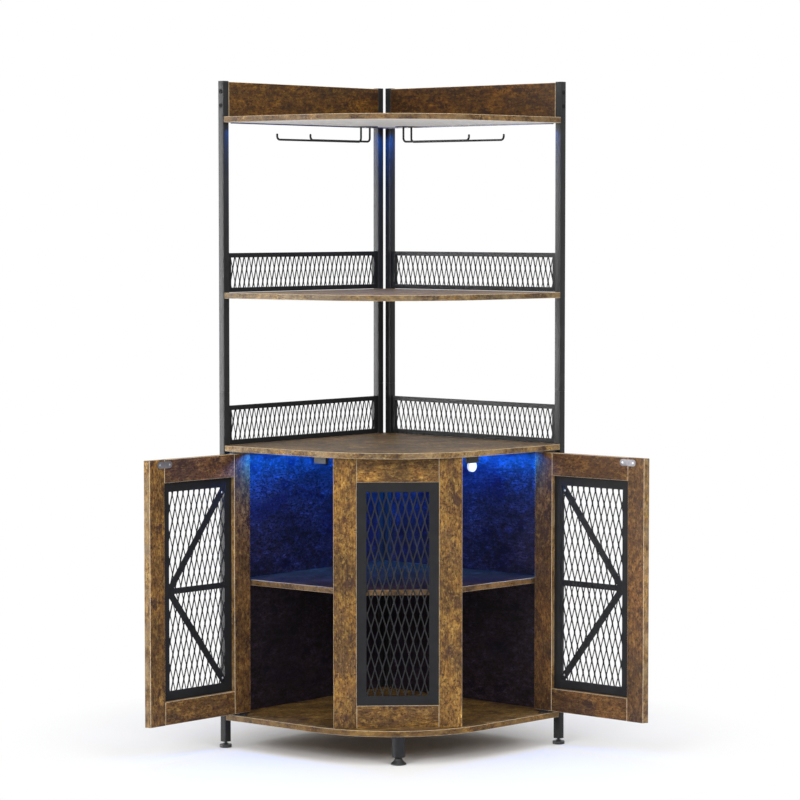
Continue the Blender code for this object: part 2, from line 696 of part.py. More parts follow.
def make_door(side):
    """A door of four boards round a braced steel frame with mesh, open on its pivot."""
    word = SIDES[side]
    door = DOORS[side]
    outer = -DOOR_THICKNESS / 2
    inner = DOOR_INNER_FACE
    hinge_x = DOOR_STILE - DOOR_TAIL
    free_x = DOOR_FREE_END - DOOR_STILE
    rail_top = DOOR_BOTTOM + DOOR_RAIL
    rail_bottom = DOOR_TOP - DOOR_RAIL
    boards = {"hinge_stile": ((-DOOR_TAIL, outer, DOOR_BOTTOM), (hinge_x, inner, DOOR_TOP)),
              "bottom_rail": ((hinge_x + FIT_GAP, outer, DOOR_BOTTOM),
                              (free_x - FIT_GAP, inner, rail_top)),
              "top_rail": ((hinge_x + FIT_GAP, outer, rail_bottom),
                           (free_x - FIT_GAP, inner, DOOR_TOP))}
    for name, (near, far) in boards.items():
        board = new_piece("_".join(("door", word, name)), box_shape(near, far), RUSTIC_BOARD,
                          door, side)
        add_bevel(board)
    stile_outline = [(free_x, outer), (DOOR_FREE_END, outer), (DOOR_FREE_END - DOOR_MITRE, inner),
                     (free_x, inner)]
    stile = flat_shape([stile_outline], DOOR_TOP - DOOR_BOTTOM)
    move_shape(stile, 0, 0, (DOOR_TOP + DOOR_BOTTOM) / 2)
    add_bevel(new_piece("_".join(("door", word, "free_stile")), stile, RUSTIC_BOARD, door, side))
    make_door_frame(side, (hinge_x + FIT_GAP, rail_top + FIT_GAP, free_x - FIT_GAP,
                           rail_bottom - FIT_GAP))
    make_strike_plate(side)
    make_hinges(side)


def make_door_frame(side, rim):
    """A thin frame at the door's outer face, which holds the mesh and the braces."""
    face = FRAME_RECESS - DOOR_THICKNESS / 2
    name = "_".join(("door", SIDES[side], "frame"))
    piece, opening = framed_mesh(name, rim, FRAME_BAR, FRAME_THICKNESS, face,
                                 face + MESH_DEPTH + MESH_THICKNESS / 2, DOOR_MESH_CELLS,
                                 DOORS[side], side)
    brace = brace_shape(opening, face + FRAME_THICKNESS - EDGE_ROUNDING - BRACE_THICKNESS / 2)
    add_boolean(piece, new_cutter(name + "_brace", brace, DOORS[side], side), "UNION")


def make_strike_plate(side):
    """An obround plate high on the inner face, near the free end."""
    radius = STRIKE_HEIGHT / 2
    reach = STRIKE_LENGTH / 2 - radius
    z = DOOR_TOP - STRIKE_TOP_DISTANCE
    outline = (arc(STRIKE_X + reach, z, radius, -math.pi / 2, math.pi / 2, STRIKE_END_SEGMENTS)
               + arc(STRIKE_X - reach, z, radius, math.pi / 2, math.pi * 3 / 2,
                     STRIKE_END_SEGMENTS))
    plate = upright_shape([outline], STRIKE_THICKNESS,
                          DOOR_INNER_FACE + FIT_GAP + STRIKE_THICKNESS / 2)
    new_piece("_".join(("door", SIDES[side], "strike_plate")), plate, BRIGHT_STEEL,
              DOORS[side], side, smooth=True)


def make_hinges(side):
    """Plates on the door's top and bottom edges, each with a pivot pin for its socket."""
    start = HINGE_PLATE_INSET - DOOR_TAIL
    end = start + HINGE_PLATE_LENGTH
    half_width = HINGE_PLATE_WIDTH / 2
    pin = HINGE_PIN_DIAMETER / 2
    collar = HINGE_COLLAR_DIAMETER / 2
    top = DOOR_TOP + FIT_GAP
    bottom = DOOR_BOTTOM - FIT_GAP - HINGE_PLATE_THICKNESS
    root = HINGE_PLATE_THICKNESS / 2
    upper_end = WORKTOP_BOTTOM - 2 * FIT_GAP
    lower_end = BASE_TOP + 2 * FIT_GAP
    collar_end = lower_end + SOCKET_THICKNESS
    pins = {"upper": (top, [(0, upper_end), (pin, upper_end), (pin, top + root),
                            (0, top + root)]),
            "lower": (bottom, [(0, bottom + root), (collar, bottom + root), (collar, collar_end),
                               (pin, collar_end), (pin, lower_end), (0, lower_end)])}
    for word, (z, profile) in pins.items():
        name = "_".join(("door", SIDES[side], "hinge", word))
        plate = box_shape((start, -half_width, z), (end, half_width, z + HINGE_PLATE_THICKNESS))
        piece = new_piece(name, plate, BRIGHT_STEEL, DOORS[side], side)
        cutter = new_cutter(name + "_pin", turned_shape(profile, ROUND_STEPS), DOORS[side], side)
        add_boolean(piece, cutter, "UNION")


def make_hinge_sockets(side):
    """Plates on the base and under the worktop, each with a hole for a door's pivot pin."""
    rim = rectangle(-SOCKET_LENGTH / 2, -SOCKET_WIDTH / 2, SOCKET_LENGTH / 2, SOCKET_WIDTH / 2)
    step = math.tau / ROUND_STEPS
    hole = arc(0, 0, HINGE_PIN_DIAMETER / 2 + RUNNING_CLEARANCE, 0, math.tau - step,
               ROUND_STEPS - 1)
    half = SOCKET_THICKNESS / 2
    heights = {"lower": BASE_TOP + FIT_GAP + half, "upper": WORKTOP_BOTTOM - FIT_GAP - half}
    for word, z in heights.items():
        new_piece("_".join(("hinge_socket", word, SIDES[side])),
                  flat_shape([rim, hole], SOCKET_THICKNESS), BRIGHT_STEEL, CLOSED[side], side,
                  (0, 0, z))


def make_catch(side):
    """A magnet catch under the worktop, behind the strike plate of the closed door."""
    near = DOOR_INNER_FACE + STRIKE_THICKNESS + 2 * FIT_GAP
    high = WORKTOP_BOTTOM - FIT_GAP
    catch = box_shape((STRIKE_X - CATCH_LENGTH / 2, near, high - CATCH_HEIGHT),
                      (STRIKE_X + CATCH_LENGTH / 2, near + CATCH_DEPTH, high))
    new_piece("door_catch_" + SIDES[side], catch, BLACK_PLASTIC, CLOSED[side], side)


def make_light_switch():
    """A round switch with a flat top, which hangs from the right catch."""
    radius = SWITCH_WIDTH / 2
    top = WORKTOP_BOTTOM - 2 * FIT_GAP - CATCH_HEIGHT
    centre_z = top - SWITCH_HEIGHT + radius
    half_angle = math.asin((top - centre_z) / radius)
    outline = arc(STRIKE_X, centre_z, radius, math.pi - half_angle, math.tau + half_angle,
                  SWITCH_SEGMENTS)
    y = DOOR_INNER_FACE + STRIKE_THICKNESS + 2 * FIT_GAP + CATCH_DEPTH / 2
    new_piece("light_switch", upright_shape([outline], SWITCH_THICKNESS, y), WHITE_PLASTIC,
              CLOSED[RIGHT], RIGHT, smooth=True)


def make_light_strips():
    """One strip under the top shelf and one under the worktop, each along both walls."""
    near = BOARD_INSET + STRIP_WALL_GAP
    far = near + STRIP_WIDTH
    strips = {"top": (TOP_SHELF_BOTTOM, TOP_STRIP_SETBACK),
              "cabinet": (WORKTOP_BOTTOM, CABINET_STRIP_SETBACK)}
    for word, (under, setback) in strips.items():
        end = WALL_LENGTH - setback
        outline = [plan_point(end, near, LEFT), plan_point(end, far, LEFT),
                   plan_point(far, far, LEFT), plan_point(end, far, RIGHT),
                   plan_point(end, near, RIGHT), plan_point(near, near, RIGHT)]
        new_piece("light_strip_" + word, flat_shape([outline], STRIP_THICKNESS), WHITE_PLASTIC,
                  origin=(0, 0, under - FIT_GAP - STRIP_THICKNESS / 2))


def rack_path(inset, end):
    """A wire that drops from its plate, runs along the wall and ends in an upturned tip."""
    top = TOP_SHELF_BOTTOM - FIT_GAP - RACK_PLATE_THICKNESS / 2
    low = TOP_SHELF_BOTTOM - RACK_DROP
    bend_up = arc(RACK_START + RACK_BEND, low + RACK_BEND, RACK_BEND, math.pi,
                  math.pi * 3 / 2, RACK_BEND_STEPS)
    tip_up = arc(end - RACK_BEND, low + RACK_BEND, RACK_BEND, -math.pi / 2, 0, RACK_BEND_STEPS)
    path = [(RACK_START, top), *bend_up, *tip_up, (end, low + RACK_TIP)]
    return [(x, inset, z) for x, z in path]


def make_rack(side):
    """Two wires and their plate, which hold stemware upside down by its base."""
    high = TOP_SHELF_BOTTOM - FIT_GAP
    wall_y = RACK_WALL_INSET
    inner_y = RACK_WALL_INSET + RACK_SPACING
    plate = box_shape((RACK_START - RACK_PLATE_WIDTH / 2, wall_y - RACK_PLATE_OVERHANG,
                       high - RACK_PLATE_THICKNESS),
                      (RACK_START + RACK_PLATE_WIDTH / 2, inner_y + RACK_PLATE_OVERHANG, high))
    wires = bmesh.new()
    add_shape(wires, wire_shape(rack_path(wall_y, RACK_WALL_END)))
    add_shape(wires, wire_shape(rack_path(inner_y, RACK_INNER_END)))
    word = SIDES[side]
    rack = new_piece("glass_rack_" + word, plate, BLACK_STEEL, WALLS[side], side, smooth=True)
    add_boolean(rack, new_cutter("rack_wires_" + word, wires, WALLS[side], side), "UNION")


make_centre_leg()
make_feet()
make_boards()
make_corner_batten()
make_panel()
make_light_switch()
make_light_strips()
for wall_side in SIDES:
    make_posts(wall_side)
    make_wall_boards(wall_side)
    make_guards(wall_side)
    make_door(wall_side)
    make_hinge_sockets(wall_side)
    make_catch(wall_side)
    make_rack(wall_side)
bpy.context.view_layer.update()
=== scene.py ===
"""Looks of the corner bar cabinet: finishes, fine steel mesh, rounded tubes, screws and studio.

The local frames are those of the cabinet's construction. In a wall's frame, X runs along the
wall from the corner, Y runs inward and Z runs up. In a door's frame, X runs from the pivot to
the free end and Y to the inner face. Shapes are drawn for the left side, and a mirrored frame
places them on the right side. All lengths are in metres.
"""
import json
import math

import bmesh
import bpy
from mathutils import Matrix, Vector


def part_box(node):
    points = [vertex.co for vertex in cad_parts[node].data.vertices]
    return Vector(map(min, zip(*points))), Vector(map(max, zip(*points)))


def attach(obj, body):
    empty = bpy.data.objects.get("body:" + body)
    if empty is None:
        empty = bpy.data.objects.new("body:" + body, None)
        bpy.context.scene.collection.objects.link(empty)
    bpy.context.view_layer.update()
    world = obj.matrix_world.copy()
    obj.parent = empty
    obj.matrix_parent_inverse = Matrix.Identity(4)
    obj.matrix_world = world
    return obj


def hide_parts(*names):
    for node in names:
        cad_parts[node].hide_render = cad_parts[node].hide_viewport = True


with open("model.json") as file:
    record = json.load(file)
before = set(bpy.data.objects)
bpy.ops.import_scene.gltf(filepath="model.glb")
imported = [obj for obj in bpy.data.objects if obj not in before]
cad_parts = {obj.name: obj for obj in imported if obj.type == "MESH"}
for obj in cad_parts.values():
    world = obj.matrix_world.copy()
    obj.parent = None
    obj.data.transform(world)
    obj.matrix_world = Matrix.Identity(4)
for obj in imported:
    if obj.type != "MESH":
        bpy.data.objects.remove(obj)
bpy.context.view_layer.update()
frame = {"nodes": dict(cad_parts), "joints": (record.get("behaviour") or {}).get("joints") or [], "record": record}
NODES = frame["nodes"]
BODY_OF = {node: body for body, nodes in frame["record"]["behaviour"]["bodies"].items()
           for node in nodes}

# Construction sizes that the pieces here share with the cabinet. The seat gap is the seam between
# a post's two tubes.
POST_SIZE = 0.020
EDGE_ANGLE = math.radians(41.5)
DOOR_OPEN_ANGLE = math.radians(95)
DOOR_BAR = 0.025
GUARD_BAR = 0.012
SEAT_GAP = 0.0003

# Post tubes and their caps
POST_WALL = 0.0012
POST_CORNER = 0.0018
POST_CORNER_STEPS = 4
POST_ROUNDING = 0.0004
CAP_INSET = 0.0014
CAP_DEPTH = 0.0010
CAP_RECESS = 0.0002
CAP_ROUNDING = 0.0003

# Expanded mesh and the bars round it. The holes' sizes are taken from their middle.
PANEL_DIAMOND = 0.0197
DOOR_DIAMOND = 0.0189
GUARD_DIAMOND = 0.0174
DIAMOND_HEIGHT = 0.069
STRAND_WIDTH = 0.0023
HOLE_SIDE = 0.0028
HOLE_HALF_HEIGHT = 0.0262
HOLE_TIP = 0.0007
MESH_RELIEF = 0.0006
MESH_THICKNESS = 0.0011
MESH_LAP = 0.004
MESH_DEPTH = 0.0025
GUARD_MESH_Y = 0.010
FIRST_ROW_DROP = 0.007
GUARD_ROW_DROP = 0.030
MERGE_DISTANCE = 0.00002
BAR_ROUNDING = 0.0007

# Braces of the doors. Where they cross, each lies a step further in than the one before.
BRACE_WIDTH = 0.0155
DIAGONAL_WIDTH = 0.0185
BRACE_THICKNESS = 0.0025
BRACE_RECESS = 0.0008
BRACE_STEP = 0.0002
BRACE_ROUNDING = 0.0006
BRACE_SCREW_INSET = 0.013

# Bolts, with their levels above the floor, and screws. A screw's rise is its height over its
# radius, and its rim stands straight for a share of that height.
BOLT_RADIUS = 0.0056
BOLT_HEIGHT = 0.0016
BOLT_EDGE = 0.14 * BOLT_RADIUS
BOLT_EDGE_STEP = 0.3 * BOLT_EDGE
BOLT_SOCKET = 0.0027
BOLT_SOCKET_MOUTH = 1.06 * BOLT_SOCKET
BOLT_SOCKET_DEPTH = 0.6 * BOLT_HEIGHT
BOLT_LEVELS = (1.693, 1.729)
SCREW_RADIUS = 0.0032
SCREW_RISE = 0.48
SCREW_RIM = 0.25
PLATE_SCREW_RADIUS = 0.0026
PLATE_SCREW_RISE = 0.06
SOCKET_SCREW_INSET = 0.004
DOME_STEPS = 6
SCREW_STEPS = 32
BOLT_STEPS = 36

# Levelling feet of the posts
FOOT_PAD = 0.016
FOOT_DISC = 0.008
FOOT_EDGE = 0.0012
FOOT_EDGE_STEPS = 4
FOOT_COLLAR = 0.007
FOOT_COLLAR_TOP = 0.011
FOOT_CHAMFER = 0.0006
STEM_RADIUS = 0.004
STEM_ROOT = 0.0035
STEM_CHAMFER = 0.0004
THREAD_PITCH = 0.00125
THREAD_DEPTH = 0.0006

# Centre leg and its bell-shaped foot
LEG_EDGE = 0.0008
LEG_BORE = 0.0052
LEG_BORE_DEPTH = 0.006
LEG_STEPS = 64
BELL_NECK = 0.0095
BELL_TOP = 0.0165
BELL_RIM = 0.004
BELL_RIM_INSET = 0.0015
BELL_RIM_SHOULDER = 0.0004
BELL_RIM_DROP = 0.0016
BELL_CURVE = 1.7
BELL_STEPS = 8

# Stemware racks
RACK_WIRE = 0.0055
RACK_WIRE_INSET = 0.010
RACK_BEND = 0.010
RACK_BEND_STEPS = 8
RACK_TIP = 0.015
RACK_INNER_END = 0.376
RACK_PLATE_REACH = 0.018
RACK_PLATE_OVERHANG = 0.004
RACK_PLATE_THICKNESS = 0.002
RACK_PLATE_ROUNDING = 0.0005
RACK_SCREW_RADIUS = 0.0028
RACK_SCREW_INSET = 0.004

# Material slots of a board's sides. A face has at least the face share along the board's normal,
# and a chamfer at least the arris share. The pattern is moved on by a step from board to board.
FACE_SLOT, BAND_SLOT, ARRIS_SLOT, BACK_SLOT = range(4)
FACE_SHARE = 0.9
ARRIS_SHARE = 0.5
PATTERN_STEP = (0.37, 1.13, 0.71)

# Rounding and shading of all pieces, and the steps round turned ones and wires
SHARP_ANGLE = math.radians(32)
ROUNDING_STEPS = 3
TURN_STEPS = 48
WIRE_STEPS = 16
WIRE_TIP = 0.5

# Studio lamps: place, target, size and power in watts. The card lights only glosses.
SUBJECT = (0, 0, 0.9)
LAMPS = {"key": ((-2.6, -4.6, 3.4), SUBJECT, (2.6, 2.6), 150),
         "fill": ((2.6, -4.4, 3.2), SUBJECT, (2.6, 2.6), 105),
         "overhead": ((0, -0.6, 4.2), (0, 0, 0), (3.0, 3.0), 50),
         "left_card": ((-4.6, 0.3, 0.95), (0, 0.1, 0.95), (2.6, 1.9), 24)}
CARD_SPREAD = math.radians(36)
FLOOR_HALF = 30
FLOOR_DROP = 0.0005
FLOOR_FADE = 4.0

# Lamps of the blue light, in a wall's frame: the strip that they hang under, their stretch along
# and off the wall, their drop below the strip, the point that they face, as its place along and
# off the wall and its depth below the lamp, their power left and right, and their spread
GLOW_BLUE = (0.0, 0.19, 1.0)
GLOWS = {"cabinet_glow": ("light_strip_cabinet", (0.06, 0.61), (0.040, 0.054), 0.002,
                          (0.335, 0.047, 1.0), (8, 8), 150),
         "stile_glow": ("light_strip_cabinet", (0.560, 0.590), (0.100, 0.120), 0.006,
                        (0.655, 0.085, 0.046), (0.85, 0.45), 140),
         "top_glow_rear": ("light_strip_top", (0.070, 0.090), (0.034, 0.046), 0.006,
                           (0.038, 0.010, 0.12), (0.55, 0.55), 150),
         "top_glow_front": ("light_strip_top", (0.575, 0.595), (0.034, 0.046), 0.006,
                            (0.622, 0.010, 0.12), (0.55, 0.55), 150)}

# Camera at the photograph's view
CAMERA_PLACE = (-0.4179, -7.8350, 1.3994)
CAMERA_YAW = math.radians(3.225)
CAMERA_PITCH = math.radians(3.531)
CAMERA_LENS = 132.73
CAMERA_SENSOR = 36
CAMERA_REACH = 100

LEFT = 1
RIGHT = -1
SIDES = {LEFT: "left", RIGHT: "right"}


def wall_frame(side):
    """The frame of a wall, found from the front post."""
    low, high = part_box("post_front_left_upper")
    length = -low.x * math.sqrt(2)
    corner_y = high.y + (length - POST_SIZE) / math.sqrt(2)
    return (Matrix.Translation((0, corner_y, 0))
            @ Matrix.Rotation(math.radians(-90 - 45 * side), 4, "Z")
            @ Matrix.Diagonal((1, side, 1, 1)))


def door_frame(side, swing):
    """The frame of a door at an angle from closed, at the pivot that the record states."""
    pivot = next(joint["pos_m"] for joint in frame["joints"]
                 if joint["name"] == "door_" + SIDES[side] + "_pivot")
    left_angle = -EDGE_ANGLE - swing
    angle = left_angle if side == LEFT else math.pi - left_angle
    return (Matrix.Translation((pivot[0], pivot[1], 0)) @ Matrix.Rotation(angle, 4, "Z")
            @ Matrix.Diagonal((1, side, 1, 1)))


WALLS = {side: wall_frame(side) for side in SIDES}
DOORS = {side: door_frame(side, DOOR_OPEN_ANGLE) for side in SIDES}
CLOSED = {side: door_frame(side, 0.0) for side in SIDES}  # the hinge sockets lie along these
WORLD = Matrix.Identity(4)


def local_box(node, place):
    """Lowest and highest corner of a CAD node in a frame."""
    back = place.inverted()
    points = [back @ vertex.co for vertex in NODES[node].data.vertices]
    return (Vector([min(p[i] for p in points) for i in range(3)]),
            Vector([max(p[i] for p in points) for i in range(3)]))


def centre_seat(low, high):
    """A place on the floor under the middle of a box."""
    return Matrix.Translation(((low.x + high.x) / 2, (low.y + high.y) / 2, 0))


class Shader:
    """A material's node tree, or a node group, with short calls to add and link nodes."""

    def __init__(self, tree):
        self.tree = tree

    def feed(self, socket, value):
        """Link an output to a socket, or set the socket's own value."""
        if isinstance(value, bpy.types.NodeSocket):
            self.tree.links.new(value, socket)
        else:
            socket.default_value = value

    def add(self, kind, inputs=None, **settings):
        """A new node with its settings and its inputs, by name or index."""
        node = self.tree.nodes.new(kind)
        for name, value in settings.items():
            setattr(node, name, value)
        for name, value in (inputs or {}).items():
            self.feed(node.inputs[name], value)
        return node

    def noise(self, vector, scale, detail=4, roughness=0.6, distortion=0.0):
        """Noise from 0 to 1."""
        node = self.add("ShaderNodeTexNoise", {"Vector": vector, "Scale": scale,
                                               "Detail": detail, "Roughness": roughness,
                                               "Distortion": distortion})
        return node.outputs["Fac"]

    def ramp(self, value, stops):
        """A colour ramp through (position, colour or grey) stops."""
        node = self.add("ShaderNodeValToRGB", {"Fac": value})
        elements = node.color_ramp.elements
        while len(elements) < len(stops):
            elements.new(0.5)
        for element, (position, colour) in zip(elements, stops):
            element.position = position
            element.color = colour if isinstance(colour, tuple) else (colour, colour, colour, 1)
        return node.outputs["Color"]

    def mix(self, factor, first, second, blend="MIX"):
        """A mix of two colours."""
        inputs = {0: factor, 6: first, 7: second}
        return self.add("ShaderNodeMix", inputs, data_type="RGBA", blend_type=blend).outputs[2]

    def math(self, operation, first, second):
        """A sum, product or other operation on two values."""
        return self.add("ShaderNodeMath", {0: first, 1: second}, operation=operation).outputs[0]

    def bump(self, height, strength, distance):
        """A normal that is bent by a relief."""
        node = self.add("ShaderNodeBump", {"Strength": strength, "Distance": distance,
                                           "Height": height})
        return node.outputs["Normal"]

    def blend(self, factor, first, second):
        """A mix of two shader nodes."""
        inputs = {"Fac": factor, 1: first.outputs[0], 2: second.outputs[0]}
        return self.add("ShaderNodeMixShader", inputs).outputs[0]


def new_material(name):
    """An empty material, the shader helper for it and its Principled shader."""
    material = bpy.data.materials.new(name)
    material.use_nodes = True
    shader = Shader(material.node_tree)
    return material, shader, material.node_tree.nodes["Principled BSDF"]


def finish(shader, surface, colour, roughness, relief=None, strength=0.0, distance=0.0):
    """Give a Principled shader its colour and roughness, and a bump from a relief."""
    shader.feed(surface.inputs["Base Color"], colour)
    shader.feed(surface.inputs["Roughness"], roughness)
    if relief is not None:
        shader.feed(surface.inputs["Normal"], shader.bump(relief, strength, distance))


def object_vector(shader, rotation=(0, 0, 0), stretch=(1, 1, 1), offset=(0, 0, 0)):
    """Coordinates along a board's own axes, stretched along its grain."""
    place = shader.add("ShaderNodeTexCoord").outputs["Object"]
    return shader.add("ShaderNodeMapping", {"Vector": place, "Rotation": rotation,
                                            "Scale": stretch, "Location": offset},
                      vector_type="TEXTURE").outputs["Vector"]


def rustic_group():
    """The printed pattern of the boards: amber and umber clouds, grain lines, knots and flecks."""
    group = bpy.data.node_groups.new("rustic_pattern", "ShaderNodeTree")
    group.interface.new_socket("Vector", in_out="INPUT", socket_type="NodeSocketVector")
    group.interface.new_socket("Color", in_out="OUTPUT", socket_type="NodeSocketColor")
    group.interface.new_socket("Height", in_out="OUTPUT", socket_type="NodeSocketFloat")
    shader = Shader(group)
    vector = shader.add("NodeGroupInput").outputs["Vector"]
    fine = shader.noise(vector, 74, 10, 0.80, 0.15)
    colour = shader.ramp(fine, [(0.34, (0.036, 0.015, 0.005, 1)), (0.43, (0.090, 0.042, 0.011, 1)),
                                (0.50, (0.160, 0.084, 0.021, 1)), (0.57, (0.236, 0.143, 0.044, 1)),
                                (0.68, (0.400, 0.282, 0.108, 1))])
    clouds = shader.noise(vector, 12, 5, 0.62, 0.4)
    shade = shader.ramp(clouds, [(0.36, 0.52), (0.50, 1.05), (0.64, 1.75)])
    colour = shader.mix(0.9, colour, shade, "MULTIPLY")
    umber = shader.ramp(shader.noise(vector, 26, 8, 0.80, 0.3), [(0.55, 0.0), (0.62, 0.90)])
    colour = shader.mix(umber, colour, (0.060, 0.026, 0.012, 1))
    plum = shader.ramp(shader.noise(vector, 9, 6, 0.66, 0.4), [(0.53, 0.0), (0.64, 0.65)])
    colour = shader.mix(plum, colour, (0.088, 0.048, 0.030, 1))
    cells = shader.add("ShaderNodeTexVoronoi", {"Vector": vector, "Scale": 17.0})
    ragged = shader.math("ADD", cells.outputs["Distance"], fine)
    knots = shader.ramp(ragged, [(0.66, 0.90), (0.76, 0.0)])
    colour = shader.mix(knots, colour, (0.046, 0.020, 0.014, 1))
    long_place = shader.add("ShaderNodeMapping", {"Vector": vector, "Scale": (1.0, 9.0, 9.0)})
    streaks = shader.noise(long_place.outputs["Vector"], 46, 8, 0.78, 0.2)
    grain = shader.ramp(streaks, [(0.37, 0.28), (0.47, 0.92), (0.64, 1.65)])
    colour = shader.mix(0.9, colour, grain, "MULTIPLY")
    specks = shader.noise(vector, 190, 5, 0.68)
    dark = shader.ramp(specks, [(0.54, 0.0), (0.61, 0.92)])
    colour = shader.mix(dark, colour, (0.030, 0.013, 0.006, 1))
    flecks = shader.noise(vector, 120, 5, 0.74, 0.2)
    pale = shader.ramp(flecks, [(0.55, 0.0), (0.68, 0.60)])
    colour = shader.mix(pale, colour, (0.470, 0.325, 0.110, 1))
    height = shader.math("ADD", streaks, shader.math("MULTIPLY", specks, 0.5))
    shader.add("NodeGroupOutput", {"Color": colour, "Height": height})
    return group


RUSTIC = rustic_group()

# Tints of each kind of board, first match first. The inner faces of the rear panels, the batten
# and the middle shelf are tinted dark or blue as painted shade and painted blue light, so that the
# strips' light looks as it does in the photograph. The hinge stiles and the right door are tinted
# darker as painted shade, and the left door's top rail purple as painted blue light. The rear
# panels' outer faces keep the plain brown of BACK_TINT.
# Painted blue light: this blue tint on the rear panels' inner faces and bands stands in for the strips' light.
REAR_PAINTED_BLUE_LIGHT = (0.11, 0.12, 0.66, 1)
BACK_TINT = (0.72, 0.60, 0.44, 1)
# Painted shade and painted blue light: the corner batten's dark blue tint.
TINTS = {"rear_panel": REAR_PAINTED_BLUE_LIGHT, "corner_batten": (0.06, 0.07, 0.34, 1),
         "backboard_left": (0.48, 0.37, 0.18, 1), "backboard_right": (0.45, 0.32, 0.14, 1),
         # Painted shade: the darker tints of the hinge stiles and the right door. Painted blue light: the purple
         # tint of the left door's top rail.
         "door_left_hinge_stile": (0.58, 0.49, 0.45, 1),
         "door_left_top_rail": (0.58, 0.48, 0.66, 1), "door_left": (0.76, 0.65, 0.48, 1),
         "door_right_hinge_stile": (0.52, 0.40, 0.32, 1), "door_right": (0.66, 0.52, 0.40, 1),
         # Painted shade and painted blue light: the middle shelf's dark purple tint.
         "panel": (0.99, 0.88, 0.60, 1), "middle_shelf": (0.25, 0.14, 0.27, 1),
         "worktop": (0.72, 0.72, 0.70, 1)}
BAND_TINTS = {"rear_panel": REAR_PAINTED_BLUE_LIGHT, "middle_shelf": (0.72, 0.62, 0.54, 1),
              "second_shelf": (0.76, 0.79, 0.84, 1), "top_shelf": (0.66, 0.60, 0.52, 1),
              "base_board": (0.74, 0.62, 0.34, 1), "door": (1.15, 1.12, 1.10, 1)}


def board_material(name, rotation, offset, edge, tint):
    """The pattern of one board, tinted as a whole, or the paler band round its edges, whose paleness is partly the
    edges' own tone and partly painted sheen.
    """
    material, shader, surface = new_material(name)
    vector = object_vector(shader, rotation, (1.5, 1, 1), offset)
    pattern = shader.add("ShaderNodeGroup", {"Vector": vector}, node_tree=RUSTIC)
    colour = pattern.outputs["Color"]
    height = pattern.outputs["Height"]
    if edge:
        # The paler edge band is partly the edges' own tone and partly painted sheen.
        tone_and_sheen = shader.ramp(shader.noise(vector, 22, 5, 0.7), [(0.42, 0.02), (0.60, 0.56)])
        colour = shader.mix(tone_and_sheen, colour, (0.330, 0.240, 0.130, 1))
    if tint:
        colour = shader.mix(1.0, colour, tint, "MULTIPLY")
    finish(shader, surface, colour, shader.ramp(height, [(0.50, 0.46), (0.95, 0.62)]), height,
           0.35, 0.0004)
    surface.inputs["Specular IOR Level"].default_value = 0.30
    return material


def arris_material():
    """The thin pale line on a board's chamfers, where the printed sheet ends, with a painted highlight along the
    edge.
    """
    material, shader, surface = new_material("board_arris")
    arris_tone = shader.noise(object_vector(shader), 160, 5, 0.75)
    colour = shader.ramp(arris_tone, [(0.35, (0.300, 0.205, 0.110, 1)), (0.50, (0.560, 0.430, 0.270, 1)),
                                (0.68, (0.720, 0.600, 0.430, 1))])
    finish(shader, surface, colour, 0.6, arris_tone, 0.2, 0.0002)
    return material


def backing_material():
    """The pale backing sheet under the top shelf."""
    material, shader, surface = new_material("board_backing")
    vector = object_vector(shader, stretch=(2.5, 1, 1))
    clouds = shader.noise(vector, 14, 5, 0.6)
    fibres = shader.noise(vector, 240, 3, 0.6)
    colour = shader.ramp(clouds, [(0.30, (0.70, 0.68, 0.66, 1)), (0.70, (0.84, 0.83, 0.81, 1))])
    threads = shader.ramp(fibres, [(0.35, 0.75), (0.65, 1.15)])
    finish(shader, surface, shader.mix(0.35, colour, threads, "MULTIPLY"), 0.55, fibres, 0.15,
           0.0002)
    return material


def powder_material(name, dark, pale, roughness):
    """Powder-coated steel: a fine orange peel and faint rubbed places."""
    material, shader, surface = new_material(name)
    vector = object_vector(shader)
    clouds = shader.noise(vector, 22, 4, 0.6)
    grains = shader.noise(vector, 1500, 2, 0.5)
    peel = shader.noise(vector, 520, 3, 0.55)
    colour = shader.ramp(clouds, [(0.30, dark), (0.70, pale)])
    colour = shader.mix(0.45, colour, shader.ramp(grains, [(0.35, 0.65), (0.65, 1.35)]),
                        "MULTIPLY")
    low, high = roughness
    finish(shader, surface, colour, shader.ramp(peel, [(0.30, low), (0.70, high)]), peel, 0.25,
           0.00025)
    surface.inputs["Specular IOR Level"].default_value = 0.20
    return material


def bright_material(name, dark, pale, roughness):
    """Zinc-plated steel with fine brushing."""
    material, shader, surface = new_material(name)
    brush = shader.noise(object_vector(shader, stretch=(1, 1, 12)), 700, 4, 0.65)
    clouds = shader.noise(object_vector(shader), 60, 4, 0.6)
    colour = shader.ramp(clouds, [(0.30, dark), (0.70, pale)])
    rough = shader.ramp(brush, [(0.30, roughness - 0.09), (0.70, roughness + 0.09)])
    finish(shader, surface, colour, rough, brush, 0.12, 0.0001)
    surface.inputs["Metallic"].default_value = 1.0
    return material


def plastic_material(name, dark, pale, roughness):
    """Moulded plastic with a faint grain."""
    material, shader, surface = new_material(name)
    vector = object_vector(shader)
    grain = shader.noise(vector, 900, 3, 0.6)
    clouds = shader.noise(vector, 70, 4, 0.6)
    colour = shader.ramp(clouds, [(0.30, dark), (0.70, pale)])
    rough = shader.ramp(grain, [(0.30, roughness - 0.06), (0.70, roughness + 0.06)])
    finish(shader, surface, colour, rough, grain, 0.2, 0.0002)
    return material


def lamp_material(name, colour_low, colour_high, strength, scale):
    """A soft lit cover whose glow varies a little along it."""
    material, shader, surface = new_material(name)
    glow = shader.noise(object_vector(shader), scale, 2, 0.5)
    colour = shader.ramp(glow, [(0.35, colour_low), (0.65, colour_high)])
    finish(shader, surface, colour, 0.3)
    shader.feed(surface.inputs["Emission Color"], colour)
    surface.inputs["Emission Strength"].default_value = strength
    return material
